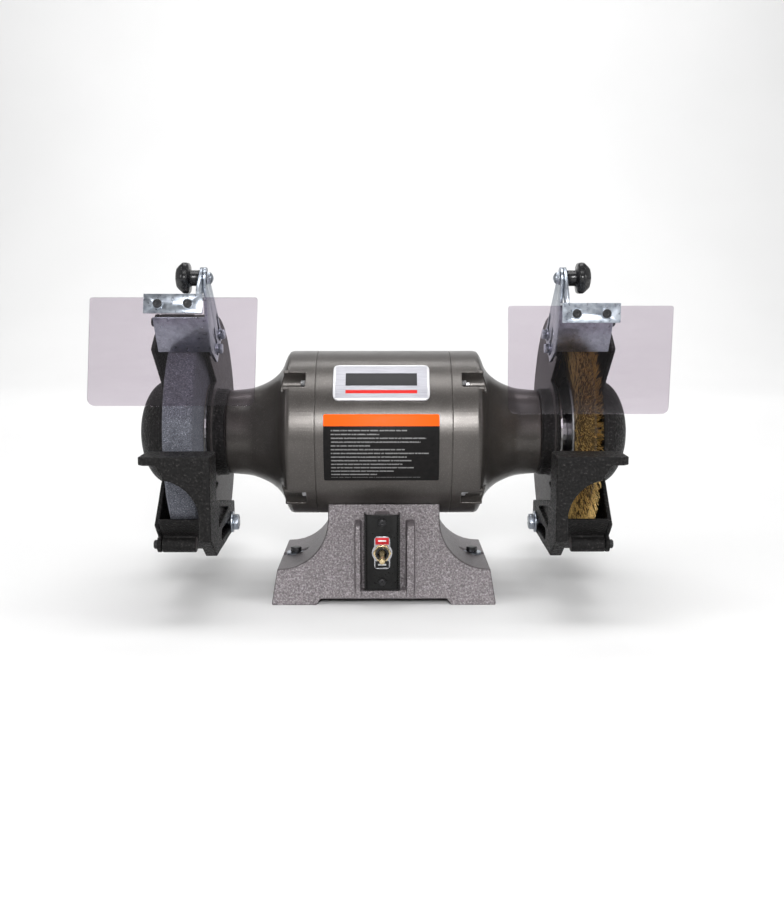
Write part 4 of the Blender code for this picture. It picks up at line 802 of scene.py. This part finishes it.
def guard_cover(hand, side):
    """Outer plate of a guard: a domed hub, four ears and an opening at the front."""
    inside = GUARD_EDGE + GAP
    outside = inside + COVER_T
    dome = []
    hollow = []
    for k in range(17):
        angle = math.radians(90 * k / 16)
        dome.append((outside + DOME_RISE * math.sin(angle), DOME_R * math.cos(angle)))
        hollow.append((inside + DOME_RISE * math.sin(angle), (DOME_R - COVER_T) * math.cos(angle)))
    dome[-1] = (outside + DOME_RISE, 0)
    hollow[-1] = (inside + DOME_RISE, 0)
    outline = [(inside, GUARD_R), (outside - 0.001, GUARD_R), (outside, GUARD_R - 0.001)]
    outline += dome + hollow[::-1]
    plate = turned(bmesh.new(), outline, at(side, 0, 0, 0), (side, 0, 0), 144)
    ears = bmesh.new()
    for angle in BOSS_ANGLES:
        seat = at(side, inside + 0.0001, *on_circle(BOSS_RING_R, angle))
        rod(ears, seat, (side, 0, 0), COVER_T - 0.0002, BOSS_R)
    mouth = front_opening(*COVER_MOUTH, COVER_LAND_R)
    mouth = side_slab(bmesh.new(), side, mouth, inside - 0.004, outside + 0.040)
    steps = [("UNION", ears), ("DIFFERENCE", mouth)]
    obj = shaped(f"guard_cover_{hand}_cast", plate, steps, CASTING, "stand", voxel=VOXEL, rounds=2)
    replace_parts(obj, f"guard_cover_{hand}")


# ---------------------------------------------------------------- wheels
def grinding_wheel():
    """The wheel with its corners broken, and a paper blotter on each face."""
    low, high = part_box("grinding_wheel")
    start = -high.x
    end = -low.x
    outline = [(start, WHEEL_BORE_R), (start, WHEEL_R - 0.0022), (start + 0.0007, WHEEL_R - 0.0009),
               (start + 0.0020, WHEEL_R), (end - 0.0020, WHEEL_R), (end - 0.0007, WHEEL_R - 0.0009),
               (end, WHEEL_R - 0.0022), (end, WHEEL_BORE_R)]
    wheel = turned(bmesh.new(), outline, at(-1, 0, 0, 0), (-1, 0, 0), 192)
    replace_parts(piece("grinding_wheel_finished", wheel, GRIT, "rotor"), "grinding_wheel")
    blotters = bmesh.new()
    for out in (start - 0.00028, end + 0.00004):
        ring = [(0, 0.0085), (0, BLOTTER_R), (BLOTTER_T, BLOTTER_R), (BLOTTER_T, 0.0085)]
        turned(blotters, ring, at(-1, out, 0, 0), (-1, 0, 0), 96)
    piece("wheel_blotters", blotters, PAPER, "rotor")


def wire_wheel():
    """Crimped wires that stand out of the hub in tufts, over a packed root whose dark colour is painted shade
    between the wires.
    """
    low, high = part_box("wire_wheel_bristles")
    middle = (low.x + high.x) / 2
    half = (high.x - low.x) / 2
    wires = bmesh.new()
    for k in range(WIRE_COUNT):
        angle = random.uniform(0, math.tau)
        lean = random.gauss(0, WIRE_LEAN)
        sway = random.gauss(0, WIRE_SWAY)
        spread = max(-1.0, min(1.0, random.gauss(0, WIRE_SPREAD)))
        reach = WHEEL_R - 0.0006 - abs(random.gauss(0, WIRE_SHORTFALL))
        crimp = random.uniform(*WIRE_CRIMP)
        phase = random.uniform(0, math.tau)
        thick = random.uniform(*WIRE_THICK)
        before = None
        for j in range(WIRE_STEPS + 1):
            t = j / WIRE_STEPS
            radius = WIRE_START + (reach - WIRE_START) * t
            turn = angle + lean * t + crimp * math.sin(phase + 13.0 * t) / radius
            across = spread * (0.004 + (half - 0.0046) * t) + crimp * math.cos(phase + 10.0 * t) * 0.7 * t
            across = max(-half + 0.0004, min(half - 0.0004, across + sway * t * t))
            ring = []
            for corner in range(3):
                a = math.tau * corner / 3
                y = radius * math.cos(turn) - thick * math.cos(a) * math.sin(turn)
                z = radius * math.sin(turn) + thick * math.cos(a) * math.cos(turn)
                ring.append(wires.verts.new((middle + across + thick * math.sin(a), y, SHAFT_HEIGHT + z)))
            if before:
                for corner in range(3):
                    n = (corner + 1) % 3
                    wires.faces.new((before[corner], before[n], ring[n], ring[corner]))
            else:
                wires.faces.new(ring)
            before = ring
        wires.faces.new(before)
    brush = piece("wire_wheel_wires", wires, WIRE, "rotor", 60)
    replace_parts(brush, "wire_wheel_bristles")
    root = [(-0.0050, BRUSH_HUB_R + 0.0003), (-0.0075, 0.075), (-0.0070, 0.090), (-0.0040, 0.0955),
            (0.0040, 0.0955), (0.0070, 0.090), (0.0075, 0.075), (0.0050, BRUSH_HUB_R + 0.0003)]
    core = turned(bmesh.new(), root, at(1, middle, 0, 0), (1, 0, 0), 144)
    # The root's dark colour is painted shade deep among the wires.
    piece("wire_wheel_root", core, WIRE_ROOT_PAINTED_SHADE, "rotor")


# ---------------------------------------------------------------- screws and small pieces
def cap_screw(bm, seat, axis, head_r, head, socket_r):
    """A round-headed screw with a hexagon socket, seen from its head's side."""
    outline = [(0, 0), (0, head_r), (head * 0.75, head_r), (head, head_r - head * 0.25),
               (head, socket_r, "hex"), (head * 0.45, socket_r, "hex"), (head * 0.35, 0)]
    turned(bm, outline, seat, axis, 24)


def pan_screw(bm, seat, axis, head_r, head):
    """A pan-headed screw with a plain dished drive."""
    outline = [(0, 0), (0, head_r), (head * 0.55, head_r * 0.97), (head * 0.9, head_r * 0.75),
               (head, head_r * 0.45), (head * 0.92, head_r * 0.38, "hex"),
               (head * 0.40, head_r * 0.30, "hex"), (head * 0.35, 0)]
    turned(bm, outline, seat, axis, 24)


def hex_head(bm, seat, axis, head_r, head, washer_r, washer):
    """A hexagon head on a washer."""
    ring = [(0, 0), (0, washer_r - 0.0002), (0.0002, washer_r), (washer - 0.0002, washer_r),
            (washer, washer_r - 0.0002), (washer, 0)]
    turned(bm, ring, seat, axis, 32)
    outline = [(washer, 0), (washer, head_r * 0.95, "hex"), (washer + head * 0.12, head_r, "hex"),
               (washer + head * 0.80, head_r, "hex"), (washer + head, head_r * 0.84), (washer + head, 0)]
    turned(bm, outline, seat, axis, 36)


def fasteners():
    """The screws, bolts, washers and nuts that the CAD leaves out, and the switch plate's two rails."""
    for hand, side in SIDES.items():
        screws = bmesh.new()
        for angle in BOSS_ANGLES:
            seat = at(side, GUARD_EDGE + GAP + COVER_T, *on_circle(BOSS_RING_R, angle))
            cap_screw(screws, seat, (side, 0, 0), head_r=0.0040, head=0.0034, socket_r=0.0019)
        piece(f"cover_screws_{hand}", screws, DARK_STEEL, "stand")
        bolts = bmesh.new()
        for place in DEFLECTOR_BOLTS:
            seat = at(side, DEFLECTOR_FACE, *place)
            hex_head(bolts, seat, (-side, 0, 0), head_r=0.0048, head=0.0036, washer_r=0.0060, washer=0.0012)
        piece(f"deflector_bolts_{hand}", bolts, ZINC, "stand")
        washer = bmesh.new()
        ring = [(0, FOOT_WASHER_HOLE_R), (0, FOOT_WASHER_R), (0.0015, FOOT_WASHER_R),
                (0.0017, FOOT_WASHER_R - 0.0003), (0.0017, FOOT_WASHER_HOLE_R)]
        turned(washer, ring, at(side, FOOT_SLOT_OUT, 0, FOOT_TOP_UP + 0.0001), (0, 0, 1), 48)
        piece(f"foot_washer_{hand}", washer, ZINC, "stand")
    plate_screws = bmesh.new()
    for offset in (-SWITCH_SCREW, SWITCH_SCREW):
        seat = at(1, SWITCH_X, SWITCH_FRONT, SWITCH_UP + offset)
        pan_screw(plate_screws, seat, (0, -1, 0), head_r=0.0034, head=0.0017)
    piece("switch_plate_screws", plate_screws, DARK_STEEL, "stand")
    rails = bmesh.new()
    low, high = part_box("switch_plate")
    for x in (low.x + 0.0001, high.x - RAIL_T - 0.0001):
        side = [(low.y + 0.0010, low.z + 0.0004), (low.y + 0.0010, high.z - 0.0002),
                (low.y - 0.0010, high.z - 0.0002), (low.y - 0.0016, high.z - 0.0010),
                (low.y - 0.0016, low.z + 0.0010), (low.y - 0.0012, low.z + 0.0004)]
        slab(rails, [Vector((x, y, z)) for y, z in side], Vector((RAIL_T, 0, 0)))
    piece("switch_plate_rails", rails, SWITCH_BLACK, "stand")
    cover_screws = bmesh.new()
    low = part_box("base_cover_plate")[0].z
    for out in (-COVER_SCREW_OUT, COVER_SCREW_OUT):
        for fwd in (-COVER_SCREW_FWD, COVER_SCREW_FWD):
            seat = Vector((out, -fwd, low))
            pan_screw(cover_screws, seat, (0, 0, -1), head_r=0.0034, head=0.0018)
    piece("base_cover_screws", cover_screws, DARK_STEEL, "stand")
    nuts = bmesh.new()
    floor = SKIRT_HALF - POCKET_DEPTH
    for fwd, up in pocket_places():
        outline = [(0, 0.0025), (0, 0.0044, "hex"), (0.0032, 0.0044, "hex"), (0.0038, 0.0038),
                   (0.0038, 0.0025)]
        turned(nuts, outline, at(1, floor + 0.0001, fwd, up), (1, 0, 0), 36)
    piece("through_bolt_nuts", nuts, STEEL, "stand")


def shield_screws(hand, side):
    """Screws through the bar and the pane, tilted with them: black heads in bright washers."""
    turn = Matrix.Rotation(-SHIELD_TILT[hand], 4, "X")
    pivot = at(1, 0, *PIVOT)
    place = Matrix.Translation(pivot) @ turn @ Matrix.Translation(-pivot)
    front = PIVOT[0] + BAR_BACK + BAR_T
    height = PIVOT[1] + BAR_TOP - BAR_HEIGHT / 2 - 0.0005
    middle = (BAR_IN + BAR_OUT) / 2
    heads = bmesh.new()
    washers = bmesh.new()
    nuts = bmesh.new()
    for out in (middle - SHIELD_SCREW_PITCH / 2, middle + SHIELD_SCREW_PITCH / 2):
        seat = at(side, out, front, height)
        ring = [(0, 0.0018), (0, 0.0047), (0.0006, 0.0045), (0.0006, 0.0018)]
        turned(washers, ring, seat, (0, -1, 0), 32)
        head_seat = seat + Vector((0, -0.0006, 0))
        cap_screw(heads, head_seat, (0, -1, 0), head_r=0.0036, head=0.0022, socket_r=0.0017)
        back = at(side, out, PIVOT[0] + BAR_BACK - GAP - PANE_T, height)
        nut = [(0, 0.0015), (0, 0.0041, "hex"), (0.0026, 0.0041, "hex"), (0.0030, 0.0034), (0.0030, 0.0015)]
        turned(nuts, nut, back, (0, 1, 0), 36)
        rod(nuts, back + Vector((0, 0.0010, 0)), (0, 1, 0), 0.0032, 0.0015)
    for bm, name, material, slot in ((heads, "heads", DARK_STEEL, "black_steel"),
                                     (washers, "washers", ZINC, "zinc"), (nuts, "nuts", ZINC, "zinc")):
        bm.transform(place)
        piece(f"shield_screw_{name}_{hand}", bm, material, f"shield_{hand}")


def knob(hand, side):
    """Star knob, with soft lobes and a plain stem."""
    start = DEFLECTOR_FACE + 2 * DEFLECTOR_T + 2 * GAP
    stem = KNOB_STEM
    end = KNOB_STEM + KNOB_T
    outline = [(0, 0.0034), (0, KNOB_STEM_R - 0.0004), (0.0004, KNOB_STEM_R), (stem - 0.0010, KNOB_STEM_R),
               (stem, KNOB_STEM_R + 0.0012), (stem + 0.0002, KNOB_R - 0.0024, "lobed"),
               (stem + 0.0008, KNOB_R - 0.0008, "lobed"), (stem + 0.0020, KNOB_R, "lobed"),
               (stem + 0.0048, KNOB_R, "lobed"), (stem + 0.0060, KNOB_R * 0.95, "lobed"),
               (end - 0.0032, KNOB_R * 0.78, "lobed"), (end - 0.0012, KNOB_R * 0.62, "lobed"),
               (end - 0.0004, KNOB_R * 0.45), (end - 0.0010, KNOB_R * 0.30), (end - 0.0012, 0),
               (stem + 0.0050, 0), (stem + 0.0050, 0.0034)]
    bm = turned(bmesh.new(), outline, at(side, start, *PIVOT), (side, 0, 0), 96)
    obj = piece(f"clamp_knob_{hand}_finished", bm, BLACK_PLASTIC, f"knob_{hand}", 50)
    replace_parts(obj, f"clamp_knob_{hand}")


def pivot_bolt(hand, side):
    """Domed nut on the motor's side of the pivot, over the bolt that the knob turns on."""
    low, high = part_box(f"pivot_bolt_{hand}")
    length = high.x - low.x
    head = 0.0050
    outline = [(0, 0), (0.0002, 0.0016), (0.0010, 0.0034), (0.0022, 0.0048), (0.0026, 0.0054, "hex"),
               (head - 0.0002, 0.0062, "hex"), (head, 0.0060, "hex"), (head, 0.003), (length, 0.003),
               (length, 0)]
    start = min(abs(low.x), abs(high.x))
    bm = turned(bmesh.new(), outline, at(side, start, *PIVOT), (side, 0, 0), 48)
    obj = piece(f"pivot_bolt_{hand}_finished", bm, ZINC, f"deflector_{hand}")
    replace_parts(obj, f"pivot_bolt_{hand}")


# ---------------------------------------------------------------- the object
VOXEL = 0.0009
WIRE_COUNT = 7000
WIRE_STEPS = 6
WIRE_START = BRUSH_HUB_R + 0.0006
WIRE_LEAN = 0.060
WIRE_SWAY = 0.0035
WIRE_SPREAD = 0.55
WIRE_SHORTFALL = 0.0040
WIRE_CRIMP = (0.0004, 0.0013)
WIRE_THICK = (0.00012, 0.00021)
# The packed root is coloured much darker than the wires: painted shade deep between the wires.
WIRE_ROOT_PAINTED_SHADE = metal("wire_root_painted_shade", (0.030, 0.018, 0.006), (0.14, 0.090, 0.032), 0.6, 0.0012, depth=0.0010,
                  metallic=0.6)

for hand, side in SIDES.items():
    end_bell(hand, side)
    guard(hand, side)
    guard_cover(hand, side)
    knob(hand, side)
    pivot_bolt(hand, side)
    shield_screws(hand, side)
    cast(f"tool_rest_{hand}", CASTING, VOXEL * 0.9, 2)
    bevelled(f"spark_deflector_{hand}", ZINC, 0.0004)
    bevelled(f"shield_arm_{hand}", ZINC, 0.0004)
    bevelled(f"shield_pane_{hand}", CLEAR, 0.0004, 1, 10)
    bevelled(f"tool_rest_bolt_{hand}", ZINC, 0.0003)
    bevelled(f"tool_rest_washer_{hand}", ZINC, 0.0002)
    bevelled(f"foot_bolt_{hand}", DARK_STEEL, 0.0003)
    bevelled(f"arbor_nut_{hand}", STEEL, 0.0003)
motor_shell()
grinding_wheel()
wire_wheel()
fasteners()
cast("base_casting", BASE, VOXEL, 2)
bevelled("nameplate", nameplate_finish(), 0.0008, 3)
bevelled("label_plate", label_finish(), 0.0002)
bevelled("switch_plate", SWITCH_BLACK, 0.0003)
bevelled("switch_legend_plate", legend_finish(), 0.0001)
bevelled("switch_nut", BRASS, 0.0003)
bevelled("toggle_lever", BRASS, 0.0002, smooth=50)
bevelled("cord_inlet_bush", RUBBER, 0.0003)

LEFT_OVER = {
    "steel": STEEL, "black_steel": DARK_STEEL, "zinc": ZINC, "copper": COPPER, "electrical_steel": LAMINATE,
    "black_plastic": BLACK_PLASTIC, "rubber": RUBBER, "brass": BRASS, "brass_wire": WIRE, "abrasive": GRIT,
    "body_paint": PAINT, "cast_paint": BASE, "black_casting": CASTING, "clear_plastic": CLEAR,
    "silver_plate": STEEL, "label_print": RUBBER,
}
slots = {entry["node"]: entry["material_slot"] for entry in frame["record"]["subparts"]}
for name, obj in nodes.items():
    if not obj.hide_render:
        obj.data.materials.clear()
        obj.data.materials.append(LEFT_OVER[slots[name]])


# ---------------------------------------------------------------- floor, light and camera
def floor():
    """A pale floor that rises smoothly behind the object, so that no horizon shows."""
    bm = bmesh.new()
    line = [(-6.0, 0.0)] + [(2.2 + x, 2.0 + z) for x, z in arc((0, 0), 2.0, -90, 0, 16)] + [(4.2, 6.0)]
    ends = [[bm.verts.new((x, y, z)) for y, z in line] for x in (-7.0, 7.0)]
    for k in range(len(line) - 1):
        bm.faces.new((ends[0][k], ends[1][k], ends[1][k + 1], ends[0][k + 1]))
    s = Surface("floor_finish", (0.92, 0.92, 0.92), 0.7, specular=0.1)
    s.colour(s.ramp(s.noise(0.8, 2.0), [(0.3, (0.71, 0.71, 0.71)), (0.7, (0.74, 0.74, 0.74))]))
    mesh = bpy.data.meshes.new("floor")
    bm.to_mesh(mesh)
    bm.free()
    mesh.shade_smooth()
    mesh.materials.append(s.material)
    obj = bpy.data.objects.new("floor", mesh)
    bpy.context.scene.collection.objects.link(obj)


def softbox(name, place, aim, width, height, power):
    light = bpy.data.lights.new(name, "AREA")
    light.shape = "RECTANGLE"
    light.size = width
    light.size_y = height
    light.energy = power
    obj = bpy.data.objects.new(name, light)
    bpy.context.scene.collection.objects.link(obj)
    obj.location = place
    obj.rotation_euler = (Vector(aim) - Vector(place)).to_track_quat("-Z", "Y").to_euler()


def studio_light():
    """Soft light from all round, bright near the horizon and dimmer overhead."""
    world = bpy.data.worlds.new("studio")
    bpy.context.scene.world = world
    world.use_nodes = True
    tree = world.node_tree
    background = tree.nodes["Background"]
    background.inputs["Strength"].default_value = 0.85
    height = tree.nodes.new("ShaderNodeSeparateXYZ")
    glow = tree.nodes.new("ShaderNodeValToRGB")
    tree.links.new(tree.nodes.new("ShaderNodeTexCoord").outputs["Generated"], height.inputs[0])
    tree.links.new(height.outputs["Z"], glow.inputs[0])
    tree.links.new(glow.outputs[0], background.inputs["Color"])
    glow.color_ramp.elements.new(0.32)
    for element, (spot, grey) in zip(glow.color_ramp.elements, ((0.0, 0.78), (0.32, 0.62), (0.75, 0.14))):
        element.position = spot
        element.color = (grey, grey, grey, 1.0)


floor()
studio_light()
softbox("key", (0.05, -1.7, 0.85), (0, 0, 0.15), 0.36, 0.36, 22)
softbox("overhead", (0.0, -0.25, 1.5), (0, 0, 0.15), 1.2, 0.5, 11)
softbox("backdrop_wash", (0.0, 1.2, 2.6), (0, 3.2, 0.9), 3.0, 1.0, 110)
softbox("left_side", (-1.4, -0.6, 0.8), (0, 0, 0.15), 0.3, 0.8, 7)
softbox("right_side", (1.4, -0.6, 0.8), (0, 0, 0.15), 0.3, 0.8, 7)
bpy.context.scene.view_settings.view_transform = "Standard"

camera = bpy.data.cameras.new("camera")
camera.lens = 41.8
camera.sensor_width = 36.0
camera_object = bpy.data.objects.new("camera", camera)
bpy.context.scene.collection.objects.link(camera_object)
camera_object.location = (0.0018, -0.9656, SHAFT_HEIGHT + 0.1208)
camera_object.rotation_euler = (math.pi / 2 - 0.142, 0, -0.006)
bpy.context.scene.camera = camera_object

bpy.context.view_layer.update()
